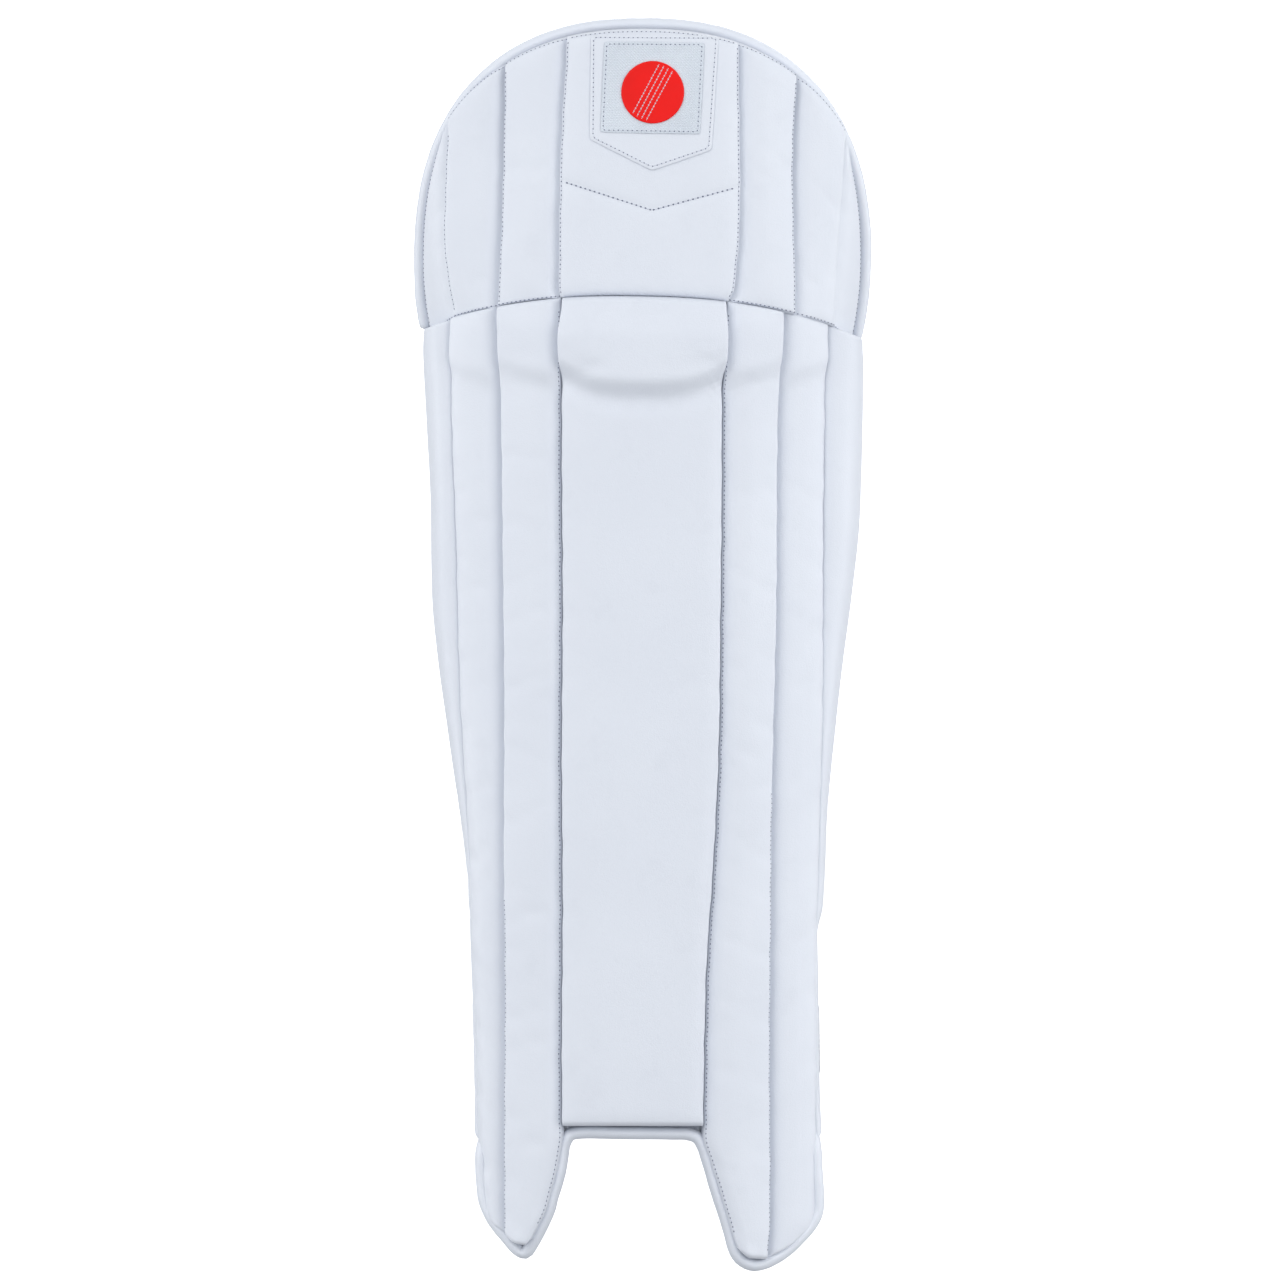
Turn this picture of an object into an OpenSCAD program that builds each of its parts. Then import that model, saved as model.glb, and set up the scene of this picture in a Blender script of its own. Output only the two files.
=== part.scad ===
// Cricket leg pad of the wicket-keeping kind, worn on the front of one leg.
// The origin is on the flat middle of the lining, between the bolsters, at the
// height of the instep arch: X to the wearer's left, Y back into the leg, Z up.

/* [Shell] */
// Thickness of the leather-cloth covers
cover_t = 1.2; // [0.8:0.1:1.6]
// Thickness of the padded lining behind the channels
lining_t = 3.5; // [2.5:0.5:4]
// How far the middle of the shin panel stands above its seams
center_crown = 7; // [5:0.5:9]
// How far the middle of a side channel stands above its seams
channel_crown = 6; // [4:0.5:8]
// Extra swell of the middle panel over the knee
knee_swell = 10; // [6:0.5:12]
// Extra swell of the side channels beside the knee
side_swell = 4; // [2:0.5:6]

/* [Top hat] */
// Height of the dome's widest line
dome_z = 487; // [480:1:494]
// Half the width of the dome at its widest line
dome_half_width = 128.5; // [124:0.5:132]
// Height of the dome above its widest line
dome_rise = 136; // [128:1:142]
// Squareness of the dome's outline, 2 being an ellipse
dome_power = 2.35; // [2:0.05:2.6]

/* [Binding] */
// Radius of the rolled binding along the open edges
binding_r = 3.4; // [2.8:0.1:3.6]

/* [Straps] */
// Width of the webbing
strap_w = 38; // [30:1:44]
// Thickness of the webbing
strap_t = 2.2; // [1.6:0.1:2.4]
// Thickness of the hook patch and of the loop patch
patch_t = 1; // [0.8:0.1:1.1]

/* [Filling] */
// Radius of a cane rod
cane_r = 3.2; // [2.4:0.1:3.4]
// Radius of the two upright bolsters beside the shin bone
bolster_r = 15; // [12:1:16]

/* [Hidden] */

LEFT = 0;
RIGHT = 1;
white = [0.9, 0.92, 0.95];
foam_color = [0.75, 0.8, 0.85];
cane_color = [0.8, 0.66, 0.4];
lining_color = [0.82, 0.84, 0.88];
webbing_color = [0.86, 0.88, 0.9];

seam_gap = 0.4;        // half the gap between two neighbours at a seam
layer_gap = 0.4;       // gap between one layer and the next
knee_z = 466;          // height of the knee seam at the middle, where the top hat bends
knee_y = -29;          // depth of that bending line
arch_z = 3;            // lower edge of the middle panel, above the instep binding
bend_slack = 0.1;      // how fast the knee seam opens towards the back

// Distance of each seam line from the middle plane, at heights from the foot upwards.
// Below the arch, seam 1 is the inner edge of the foot.
SEAM_X = [
    [
        [[-66, 69.5], [-42, 60.5], [-22, 54], [-7, 52], [2, 44.8], [464, 44.8]],
        [[-68, 75.5], [41, 75.6], [300, 76.2], [464, 79]],
        [[-52, 86], [0, 89], [84, 91.5], [151, 94], [241, 99], [315, 101], [404, 104], [460, 103]]
    ],
    [
        [[-66, 59.5], [-42, 50.5], [-27, 45.5], [-10, 40.5], [2, 34.2], [80, 36], [149, 40], [252, 44], [464, 47]],
        [[-72, 69], [-50, 70], [131, 70.6], [252, 73], [400, 75], [464, 77]],
        [[-52, 95], [100, 94], [150, 96.5], [250, 98.5], [464, 100]]
    ]
];
// Outline of the shin seen from the front, which the wings reach
OUTLINE_X = [
    [[-30, 92], [84, 94.5], [129, 96], [174, 101], [218, 108], [263, 114], [308, 118], [398, 120.4], [442, 122.6]],
    [[-30, 100], [84, 98.5], [129, 100.5], [174, 104], [218, 108], [263, 112.6], [308, 118], [353, 122], [440, 124]]
];
// Lower edge of each foot against the distance from the middle plane
FOOT_Z = [
    [[62, -58], [66, -63.5], [70, -62.5], [75, -57.5], [82, -50], [87, -40]],
    [[54, -62], [60, -69], [66, -71], [74, -68], [81, -63], [87, -57], [94, -48], [96, -40]]
];
// Depth of the seam lines, the way each seam faces, and the pad behind it
SEAM_Y = [-27, -17, 2];
SEAM_TURN = [9, 27, 52];
SEAM_T = [21, 20, 17];
WING_TURN = 100;
WING_EDGE_T = 9;
WING_REACH = [[-8, 42], [60, 46], [110, 50], [160, 60], [240, 72], [400, 85], [440, 80]];
// How far the wing's rear edge curls in from its widest line
WING_TUCK = [[-8, 25], [110, 25], [400, 30]];
WING_CROWN = 3;
WING_Z = [[-8, 8], [452, 424]];  // lower and upper ends at the seam, then at the rear edge

// Top hat: its seams, their depth, the way they face and the pad behind them
HAT_SEAM_X = [
    [[[464, 44.5], [532, 45], [616, 41]], [[460, 79.5], [509, 77], [594, 75.6]], [[456, 103], [500, 109], [560, 107]]],
    [[[464, 48], [476, 51.5], [526, 54], [616, 53.5]], [[458, 84.6], [538, 83.4], [590, 85.5]],
     [[452, 106], [490, 108], [556, 112]]]
];
HAT_SEAM_Y = [[[464, -27], [616, -24]], [[461, -17], [590, -16]], [[457, 1], [550, -6]]];
HAT_RIM_Y = [[440, 34], [487, 22], [552, -1]];
HAT_TURN = [8, 22, 38, 15];
HAT_T = [18, 16, 14, 9];
// Ends of the hat's outer edge: where it meets the knee seam, and the dome's shoulder
HAT_RIM_Z = [[448, 552], [440, 541]];

// Cross-section of a quilted panel: place across it, and height as a share of the crown
PROFILE = [[0, -0.5], [0.06, 0.4], [0.25, 0.92], [0.55, 1], [0.85, 0.9], [0.96, 0.5], [1, -0.4]];
INNER_PROFILE = [[0, -0.5], [0.2, 0.8], [0.5, 1], [0.8, 0.9], [1, -0.4]];
FLAT_PROFILE = [[0, -0.4], [0.04, 0.5], [0.12, 1], [0.5, 1], [0.88, 1], [0.96, 0.5], [1, -0.4]];

function mix(a, b, t) = a + (b - a) * t;
function clamp01(t) = min(1, max(0, t));
function smooth(a, b, t) = let (u = clamp01((t - a) / (b - a))) u * u * (3 - 2 * u);
function facing(turn) = [sin(turn), -cos(turn), 0];

// Height of the knee seam, which is arched and lies two degrees off level
function knee_seam_z(x) = 467 - 0.02 * x - pow(abs(x) / 124, 2.4) * 21;
function dome_top(x) = dome_z + dome_rise * pow(max(0, 1 - pow(abs(x - 0.5) / dome_half_width, dome_power)), 1 / dome_power);
function dome_side(z) = z > dome_z
    ? dome_half_width * pow(1 - pow((z - dome_z) / dome_rise, dome_power), 1 / dome_power)
    : dome_half_width - pow(dome_z - z, 2) * 0.0027;

// A seam point: place, the way the seam faces, and the thickness behind it
function seam(side, k, z) = [[lookup(z, SEAM_X[side][k]), SEAM_Y[k], z], SEAM_TURN[k], SEAM_T[k]];
function wing_edge(side, z) = [
    [lookup(z, OUTLINE_X[side]) - lookup(z, WING_TUCK), SEAM_Y[2] + lookup(z, WING_REACH), z], WING_TURN, WING_EDGE_T];
function hat_seam(side, k, z) = [
    [lookup(z, HAT_SEAM_X[side][k]), lookup(z, HAT_SEAM_Y[k]), z], HAT_TURN[k], HAT_T[k]];
function hat_rim(z) = [[dome_side(z) - 2 * binding_r, lookup(z, HAT_RIM_Y), z], HAT_TURN[3], HAT_T[3]];
function flip(p) = [[-p[0][0], p[0][1], p[0][2]], -p[1], p[2]];

// One point of a panel: a and b are its seam points, s the place between them,
// out the distance in front of the line between the seams
function across(a, b, s, out) = mix(a[0], b[0], s) + facing(mix(a[1], b[1], s)) * out;
function depth_at(a, b, s) = mix(a[2], b[2], s);

// Faces of a loft whose rings hold a front row and a back row of m points each
function loft_faces(rings, m) = let (n = 2 * m) concat(
    [for (i = [0:rings - 2], j = [0:n - 1]) let (k = (j + 1) % n)
        each [[i * n + j, i * n + k, (i + 1) * n + k], [i * n + j, (i + 1) * n + k, (i + 1) * n + j]]],
    [for (j = [0:m - 2]) each [[j + 1, j, n - 1 - j], [j + 1, n - 1 - j, n - 2 - j]]],
    [for (j = [0:m - 2]) let (o = (rings - 1) * n)
        each [[o + j, o + j + 1, o + n - 1 - j], [o + j + 1, o + n - 2 - j, o + n - 1 - j]]]
);
module loft(rings) {
    m = len(rings[0]) / 2;
    polyhedron([for (r = rings) each r], [for (f = loft_faces(len(rings), m)) [f[2], f[1], f[0]]]);
}

// Levels from 0 to 1 of a panel that runs from height low to height high
function levels(low, high, steps, inset) = let (size = high - low) [
    for (h = concat([low + inset, low + inset + 3, low + inset + 12], [for (h = steps) if (h > low + 15 && h < high - 14) h],
        [high - inset - 10, high - inset - 3, high - inset])) (h - low) / size];
SHIN_STEPS = [-40, -24, -8, 3, 60, 130, 200, 270, 340, 395, 408, 416, 426, 444];
INNER_STEPS = [-26, -8, 4, 60, 150, 250, 350, 404, 420];
HAT_STEPS = [490, 515, 540, 565, 590];
HAT_INNER_STEPS = [500, 545, 580];

// How the front of a panel dips where it is sewn in at its ends
function end_dip(z, low, high) = 1 - smooth(low, low + 12, z) * (1 - smooth(high - 10, high, z));
function swell(z, amount) = amount * smooth(405, 424, z) * (1 - 0.4 * smooth(452, 464, z));

// Quilted panels as rings from the bottom to the top.
// edge_a and edge_b give the two seam points at level v; floor_z and roof_z give the end lines;
// cut keeps the layer from front to back between two shares of the depth
module panel(edge_a, edge_b, low, high, steps, profile, crown, extra, floor_fit, roof_fit, inset, layer, slack = 0) {
    rings = [for (v = levels(low, high, steps, inset)) let (
        a = edge_a(v), b = edge_b(v), width = norm(b[0] - a[0]), cut = (seam_gap + inset) / width,
        z = mix(low, high, v), dip = end_dip(z, low + inset, high - inset),
        front = [for (p = profile) let (
            s = mix(cut, 1 - cut, p[0]), t = depth_at(a, b, s),
            top = (crown * p[1] + extra(z) * max(0, p[1])) * (1 - dip) - dip * 0.3 * t - inset,
            back = -t + inset,
            body = across(a, b, s, mix(top, back, layer[0]))
        ) body + [0, 0, fit_z(body, a, b, s, v, floor_fit, roof_fit, slack)]],
        rear = [for (p = profile) let (
            s = mix(cut, 1 - cut, p[0]), t = depth_at(a, b, s),
            top = (crown * p[1] + extra(z) * max(0, p[1])) * (1 - dip) - dip * 0.3 * t - inset,
            back = -t + inset,
            body = across(a, b, s, mix(top, back, layer[1]))
        ) body + [0, 0, fit_z(body, a, b, s, v, floor_fit, roof_fit, slack)]]
    ) concat(front, [for (i = [len(rear) - 1:-1:0]) rear[i]])];
    loft(rings);
}
// Lifts a point so that the panel's ends follow the end lines instead of straight chords
function fit_z(body, a, b, s, v, floor_fit, roof_fit, slack) = let (x = mix(a[0][0], b[0][0], s))
    (1 - clamp01(v * 4)) * (floor_fit(x, s) + slack * (body[1] - knee_y)) + clamp01(v * 4 - 3) * roof_fit(x, s);

function no_fit() = function (x, s) 0;
// Difference between an end line and the chord between the line's ends at the two seams
function line_fit(line, xa, xb) = function (x, s) line(x) - mix(line(xa), line(xb), s);

module cover(edge_a, edge_b, low, high, steps, inner_steps, profile, crown, extra, floor_fit, roof_fit) {
    color(white) difference() {
        panel(edge_a, edge_b, low, high, steps, profile, crown, extra, floor_fit, roof_fit, 0, [0, 1]);
        panel(edge_a, edge_b, low, high, inner_steps, INNER_PROFILE, crown, extra, floor_fit, roof_fit, cover_t, [0.02, 1]);
    }
}
module side_of(side) {
    if (side == LEFT) mirror([1, 0, 0]) children();
    else children();
}

// Shin panels
shin_low = [-60, -66];
// Distance of the middle panel's seams from the middle plane at the knee
center_x = [44.8, 47];
function knee_side_z(side, x) = knee_seam_z(side == LEFT ? -x : x) - 0.9;
function center_left(v) = flip(seam(LEFT, 0, mix(arch_z, knee_side_z(LEFT, center_x[LEFT]), v)));
function center_right(v) = seam(RIGHT, 0, mix(arch_z, knee_side_z(RIGHT, center_x[RIGHT]), v));
function foot_z(side) = function (x) lookup(x, FOOT_Z[side]);
function knee_line(side) = function (x) knee_side_z(side, x);
function channel_edge(side, k) = let (
        foot_x = [[[64, 75], [75, 86]], [[57, 69], [69, 95]]][side],
        x_low = lookup(0, SEAM_X[side][k]),
        z0 = k == 0 ? shin_low[side] : k == 1 ? lookup(foot_x[0][1], FOOT_Z[side]) : lookup(foot_x[1][1], FOOT_Z[side]),
        z1 = knee_side_z(side, lookup(460, SEAM_X[side][k])))
    function (v) seam(side, k, mix(z0, z1, v));
function channel_floor(side, k) = line_fit(foot_z(side),
    channel_edge(side, k)(0)[0][0], channel_edge(side, k + 1)(0)[0][0]);
function channel_roof(side, k) = line_fit(knee_line(side),
    channel_edge(side, k)(1)[0][0], channel_edge(side, k + 1)(1)[0][0]);
function knee_bulge(amount) = function (z) swell(z, amount);

module shin_center_layer(profile, steps, inset, layer, swells) {
    panel(function (v) center_left(v), function (v) center_right(v), arch_z, knee_z - 0.8, steps, profile,
        center_crown, knee_bulge(swells), no_fit(),
        line_fit(function (x) knee_seam_z(x) - 0.9, -center_x[LEFT], center_x[RIGHT]), inset, layer);
}
module channel_layer(side, k, profile, steps, inset, layer) {
    side_of(side) panel(channel_edge(side, k), channel_edge(side, k + 1),
        channel_edge(side, k)(0)[0][2], channel_edge(side, k)(1)[0][2], steps, profile,
        channel_crown, knee_bulge(side_swell), channel_floor(side, k), channel_roof(side, k), inset, layer);
}
module shin_center_cover() {
    color(white) difference() {
        shin_center_layer(FLAT_PROFILE, SHIN_STEPS, 0, [0, 1], knee_swell);
        shin_center_layer(INNER_PROFILE, INNER_STEPS, cover_t, [0.02, 1], knee_swell);
    }
}
module channel_cover(side, k) {
    color(white) difference() {
        channel_layer(side, k, PROFILE, SHIN_STEPS, 0, [0, 1]);
        channel_layer(side, k, INNER_PROFILE, INNER_STEPS, cover_t, [0.02, 1]);
    }
}
module shin_center_foam() {
    color(foam_color) shin_center_layer(INNER_PROFILE, INNER_STEPS, cover_t + 2 * layer_gap, [0.1, 0.45], 0);
}
module channel_foam(side, k) {
    color(foam_color) channel_layer(side, k, INNER_PROFILE, INNER_STEPS, cover_t + layer_gap, [0.08, 0.5]);
}

// Wings: the outermost shin panels, which wrap round the sides of the leg
function wing_inner(side, v) = seam(side, 2, mix(WING_Z[0][0], WING_Z[1][0], v));
function wing_outer(side, v) = wing_edge(side, mix(WING_Z[0][1], WING_Z[1][1], v));
// The wing bows out to the outline at this place across it, and curls in behind
WIDEST = 0.35;
function bow_share(s) = sin(180 * pow(s, ln(0.5) / ln(WIDEST)));
function wing_bow(side, v) = let (z = wing_inner(side, v)[0][2], a = wing_inner(side, v)[0][0],
        b = wing_outer(side, v)[0][0], reach = lookup(z, OUTLINE_X[side]))
    max(1, (reach - mix(a, b, WIDEST)) / sin(mix(SEAM_TURN[2], WING_TURN, WIDEST)) - WING_CROWN);
function wing_point(side, s, v, out) = let (a = wing_inner(side, v), b = wing_outer(side, v))
    across(a, b, s, wing_bow(side, v) * bow_share(s) + out);
function wing_depth(s) = mix(SEAM_T[2], WING_EDGE_T, s);
// Level of the wing at a height, at place s between its seam and its rear edge
function wing_level(z, s) = let (z0 = mix(WING_Z[0][0], WING_Z[0][1], s), z1 = mix(WING_Z[1][0], WING_Z[1][1], s))
    (z - z0) / (z1 - z0);
WING_PROFILE = [[0, -0.6], [0.06, 0.4], [0.2, 0.9], [0.35, 1], [0.5, 1], [0.65, 1], [0.8, 1], [0.93, 0.8], [1, -0.3]];
WING_INNER = [[0.01, -0.6], [0.2, 0.8], [0.4, 1], [0.6, 1], [0.8, 1], [0.99, -0.3]];
module wing_layer(side, profile, steps, inset, layer) {
    low = WING_Z[0][0];
    high = WING_Z[1][0];
    rings = [for (v = levels(low, high, steps, inset)) let (
        width = norm(wing_outer(side, v)[0] - wing_inner(side, v)[0]), cut = (seam_gap + inset) / width,
        z = mix(low, high, v), dip = end_dip(z, low + inset, high - inset),
        tops = [for (p = profile) WING_CROWN * p[1] * (1 - dip) - dip * 3 + side_swell / 2 * swell(z, 1) * p[1] - inset],
        front = [for (i = [0:len(profile) - 1]) let (s = mix(cut, 1 - cut - (2 * binding_r + 1.6) / width, profile[i][0]))
            wing_point(side, s, v, mix(tops[i], -wing_depth(s) + inset, layer[0]))],
        rear = [for (i = [0:len(profile) - 1]) let (s = mix(cut, 1 - cut - (2 * binding_r + 1.6) / width, profile[i][0]))
            wing_point(side, s, v, mix(tops[i], -wing_depth(s) + inset, layer[1]))]
    ) concat(front, [for (i = [len(rear) - 1:-1:0]) rear[i]])];
    side_of(side) loft(rings);
}
module wing_cover(side) {
    color(white) difference() {
        wing_layer(side, WING_PROFILE, SHIN_STEPS, 0, [0, 1]);
        wing_layer(side, WING_INNER, INNER_STEPS, cover_t, [0.02, 1]);
    }
}
module wing_foam(side) {
    color(foam_color) wing_layer(side, WING_INNER, INNER_STEPS, cover_t + 2 * layer_gap, [0.12, 0.92]);
}

// The knee's own foam block, in front of the middle panel's foam
module knee_foam() {
    inset = cover_t + 3 * layer_gap;
    rings = [for (z = [416, 424, 436, 450]) let (
        a = center_left((z - arch_z) / (knee_z - 0.8 - arch_z)), b = center_right((z - arch_z) / (knee_z - 0.8 - arch_z)),
        room = swell(z, knee_swell))
        concat([for (s = [0.25, 0.5, 0.75]) across(a, b, s, 0.8 * (center_crown + room) - inset)],
               [for (s = [0.75, 0.5, 0.25]) across(a, b, s, center_crown - cover_t)])];
    color(foam_color) loft(rings);
}

// Cane rods, straight between two heights of a channel
cane_low = 24;
cane_high = 400;
module cane(a_low, b_low, a_high, b_high, s) {
    // Distance behind the seam line, in the back half of the channel
    behind = -12.6;
    foot = across(a_low, b_low, s, behind);
    head = across(a_high, b_high, s, behind);
    run = head - foot;
    translate(foot) rotate([0, acos(run[2] / norm(run)), atan2(run[1], run[0])])
        cylinder(r = cane_r, h = norm(run), $fn = 32);
}
module shin_center_canes() {
    color(cane_color) for (s = [0.14, 0.32, 0.5, 0.68, 0.86])
        cane(flip(seam(LEFT, 0, cane_low)), seam(RIGHT, 0, cane_low),
            flip(seam(LEFT, 0, cane_high)), seam(RIGHT, 0, cane_high), s);
}
module channel_canes(side) {
    color(cane_color) side_of(side) for (k = [0, 1], s = [0.34, 0.68])
        cane(seam(side, k, cane_low), seam(side, k + 1, cane_low),
            seam(side, k, cane_high), seam(side, k + 1, cane_high), s);
}

// Lining: a flat middle that the shin bears on, and a padded sheet behind each side
LINING_OUTLINE = [[-40.5, -2], [31, -2], [31, 80], [40, 250], [42.5, 462], [-40.5, 462]];
module shin_lining_center() {
    color(lining_color) difference() {
        rotate([90, 0, 0]) linear_extrude(lining_t) polygon(LINING_OUTLINE);
        translate([0, 0.1, 0]) rotate([90, 0, 0]) linear_extrude(0.6) bolster_beds();
    }
}
// Where the bolsters press into the lining
module bolster_beds() {
    r = bolster_r + 0.2;
    for (x = bolster_x) hull() {
        translate([x, bolster_low]) circle(r = r, $fn = 48);
        translate([x, bolster_low + bolster_len]) circle(r = r, $fn = 48);
    }
    hull() for (x = [-24, 24]) translate([x, 412]) circle(r = r, $fn = 48);
}
LINING_LEVELS = [0.03, 0.12, 0.25, 0.4, 0.55, 0.7, 0.85, 0.97];
function lining_row(side, v, out) = concat(
    [for (s = [0.12, 0.55]) across(channel_edge(side, 0)(v), channel_edge(side, 1)(v), s,
        -depth_at(channel_edge(side, 0)(v), channel_edge(side, 1)(v), s) - out)],
    [for (s = [0.02, 0.5, 0.98]) across(channel_edge(side, 1)(v), channel_edge(side, 2)(v), s,
        -depth_at(channel_edge(side, 1)(v), channel_edge(side, 2)(v), s) - out)],
    [for (s = [0.04, 0.14, 0.26, 0.4, 0.6, 1 - 13 / wing_width(side, v)]) wing_point(side, s, v, -wing_depth(s) - out - 1)]);
module shin_lining(side) {
    rings = [for (v = LINING_LEVELS) let (
        front = lining_row(side, v, 0.8), rear = lining_row(side, v, 0.8 + lining_t))
        concat(front, [for (i = [len(rear) - 1:-1:0]) rear[i]])];
    color(lining_color) side_of(side) loft(rings);
}

// Bolsters sewn on the lining: flat-backed rolls, two upright and two across,
// pressed flat where the leg bears on them
module bolster(r, length) {
    intersection() {
        union() {
            cylinder(r = r, h = length, $fn = 48);
            sphere(r = r, $fn = 48);
            translate([0, 0, length]) sphere(r = r, $fn = 48);
        }
        translate([-r - 1, 3, -r - 1]) cube([2 * r + 2, r - 5.4, length + 2 * r + 2]);
    }
}
bolster_x = [-26, 20];
bolster_low = 42;
bolster_len = 310;
module shin_bolster(side) {
    color(lining_color) translate([bolster_x[side], -2.6, bolster_low]) bolster(bolster_r, bolster_len);
}
module knee_bolster() {
    color(lining_color) translate([-24, -2.6, 412]) rotate([0, 90, 0]) bolster(bolster_r, 48);
}

// Tube of a given radius along a list of points
function along(points, i) = let (a = points[max(0, i - 1)], b = points[min(len(points) - 1, i + 1)]) (b - a) / norm(b - a);
module tube(points, r, sides) {
    rings = [for (i = [0:len(points) - 1]) let (
        way = along(points, i), u0 = cross(way, [0, 1, 0]), u = u0 / norm(u0), w = cross(u, way))
        [for (j = [0:sides - 1]) points[i] + r * (cos(360 * (j + 0.5) / sides) * u + sin(360 * (j + 0.5) / sides) * w)]];
    loft(rings);
}

// Instep binding: round both feet and over the arch, as distance and height
INSTEP_ROUTE = [
    [-90, -14], [-89.5, -30], [-88, -41], [-83.5, -51], [-76, -60.5], [-70, -67], [-65.5, -69], [-61.5, -64], [-56.5, -54.5],
    [-52.5, -46], [-50, -37], [-47, -27], [-44.8, -16], [-43.5, -8], [-40.5, -3], [-35, -1.6],
    [-10, -1.8], [18, -2.2], [26, -3], [31.5, -7], [36, -16], [39.7, -27], [43, -38], [46, -47], [49, -57],
    [51.5, -66], [55, -72.3], [61, -75.6], [67, -75.4], [74, -72.5], [81, -68], [87, -62.5], [94, -55], [98.2, -47],
    [98.8, -38], [98, -26], [97.5, -14]
];
INSTEP_DEPTH = [[0, -14], [45, -14], [72, -8], [97, 9]];
module instep_binding() {
    color(white) tube([for (p = INSTEP_ROUTE) [p[0], lookup(abs(p[0]), INSTEP_DEPTH), p[1]]], binding_r, 8);
}
function wing_width(side, v) = norm(wing_outer(side, v)[0] - wing_inner(side, v)[0]);
function wing_edge_middle(side, v) = wing_point(side, 1 - binding_r / wing_width(side, v), v, -WING_EDGE_T / 2 + 1);
module wing_binding(side) {
    color(white) side_of(side) tube([for (v = [0.03, 0.1, 0.2, 0.27, 0.34, 0.42, 0.55, 0.7, 0.85, 0.97])
        wing_edge_middle(side, v)], binding_r, 8);
}

// Top hat panels
function hat_edge(side, k) = let (sx = side == LEFT ? -1 : 1,
        x0 = lookup(460, HAT_SEAM_X[side][k]), x1 = lookup(620, HAT_SEAM_X[side][k]))
    function (v) hat_seam(side, k, mix(knee_seam_z(sx * x0) + 0.5, dome_top(sx * x1) - 2 * binding_r - 1, v));
function hat_rim_edge(side) = function (v) hat_rim(mix(HAT_RIM_Z[side][0], HAT_RIM_Z[side][1], v));
function hat_side_edge(side, k) = k < 3 ? hat_edge(side, k) : hat_rim_edge(side);
function hat_floor(side) = let (sx = side == LEFT ? -1 : 1) function (x) knee_seam_z(sx * x);
function hat_roof(side) = let (sx = side == LEFT ? -1 : 1) function (x) dome_top(sx * x);
module hat_side_layer(side, k, profile, steps, inset, layer) {
    a = hat_side_edge(side, k);
    b = hat_side_edge(side, k + 1);
    side_of(side) panel(a, b, a(0)[0][2], a(1)[0][2], steps, profile, channel_crown - k, no_swell(),
        line_fit(hat_floor(side), a(0)[0][0], b(0)[0][0]), k < 2 ? line_fit(hat_roof(side), a(1)[0][0], b(1)[0][0]) : no_fit(),
        inset, layer, bend_slack);
}
function no_swell() = function (z) 0;
module hat_center_layer(profile, steps, inset, layer) {
    a = hat_edge(LEFT, 0);
    b = hat_edge(RIGHT, 0);
    panel(function (v) flip(a(v)), b, a(0)[0][2], b(1)[0][2], steps, profile, center_crown, no_swell(),
        line_fit(hat_floor(RIGHT), -a(0)[0][0], b(0)[0][0]), line_fit(hat_roof(RIGHT), -a(1)[0][0], b(1)[0][0]),
        inset, layer, bend_slack);
}
module hat_center_cover() {
    color(white) difference() {
        hat_center_layer(FLAT_PROFILE, HAT_STEPS, 0, [0, 1]);
        hat_center_layer(INNER_PROFILE, HAT_INNER_STEPS, cover_t, [0.02, 1]);
    }
}
module hat_side_cover(side, k) {
    color(white) difference() {
        hat_side_layer(side, k, PROFILE, HAT_STEPS, 0, [0, 1]);
        hat_side_layer(side, k, INNER_PROFILE, HAT_INNER_STEPS, cover_t, [0.02, 1]);
    }
}
module hat_center_foam() {
    color(foam_color) hat_center_layer(INNER_PROFILE, HAT_INNER_STEPS, cover_t + layer_gap, [0.08, 0.94]);
}
module hat_side_foam(side) {
    color(foam_color) for (k = [0:2])
        hat_side_layer(side, k, INNER_PROFILE, HAT_INNER_STEPS, cover_t + layer_gap, [0.08, 0.9]);
}
function hat_back(edge_a, edge_b, s, v, out) = let (a = edge_a(v), b = edge_b(v)) across(a, b, s, -depth_at(a, b, s) - out);
function hat_half_row(side, v, out) = [for (k = [0:2], s = [0.02, 0.5])
    hat_back(hat_side_edge(side, k), hat_side_edge(side, k + 1), s, v, out)];
function mirrored(p) = [-p[0], p[1], p[2]];
module hat_lining() {
    rings = [for (v = [0.06, 0.2, 0.35, 0.5, 0.65, 0.8, 0.94]) let (
        row = function (out) concat(
            [for (i = [5:-1:0]) mirrored(hat_half_row(LEFT, v, out)[i])], hat_half_row(RIGHT, v, out)),
        front = row(1.3), rear = row(1.3 + lining_t))
        concat(front, [for (i = [len(rear) - 1:-1:0]) rear[i]])];
    color(lining_color) loft(rings);
}
module hat_bolster() {
    color(lining_color) translate([-34, -4.8, 520]) rotate([0, 90, 0]) bolster(bolster_r, 68);
}

// Binding round the dome, from one end of the knee seam to the other
HAT_BINDING_DEPTH = [[440, 39.5], [487, 27.5], [541, 9], [563, 1], [590, -8], [616, -15], [624, -15]];
function dome_point(turn) = [
    0.5 + (dome_half_width - binding_r) * sign(cos(turn)) * pow(abs(cos(turn)), 2 / dome_power),
    dome_z + (dome_rise - binding_r) * pow(abs(sin(turn)), 2 / dome_power)];
function rim_point(side, z) = [(side == LEFT ? -1 : 1) * (dome_side(z) - binding_r), z];
HAT_ROUTE = concat([for (z = [455, 468]) rim_point(LEFT, z)], [for (turn = [178:-8:2]) dome_point(turn)],
    [for (z = [468, 449]) rim_point(RIGHT, z)]);
module hat_binding() {
    color(white) tube([for (p = HAT_ROUTE) [p[0], lookup(p[1], HAT_BINDING_DEPTH), p[1]]], binding_r, 8);
}

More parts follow.
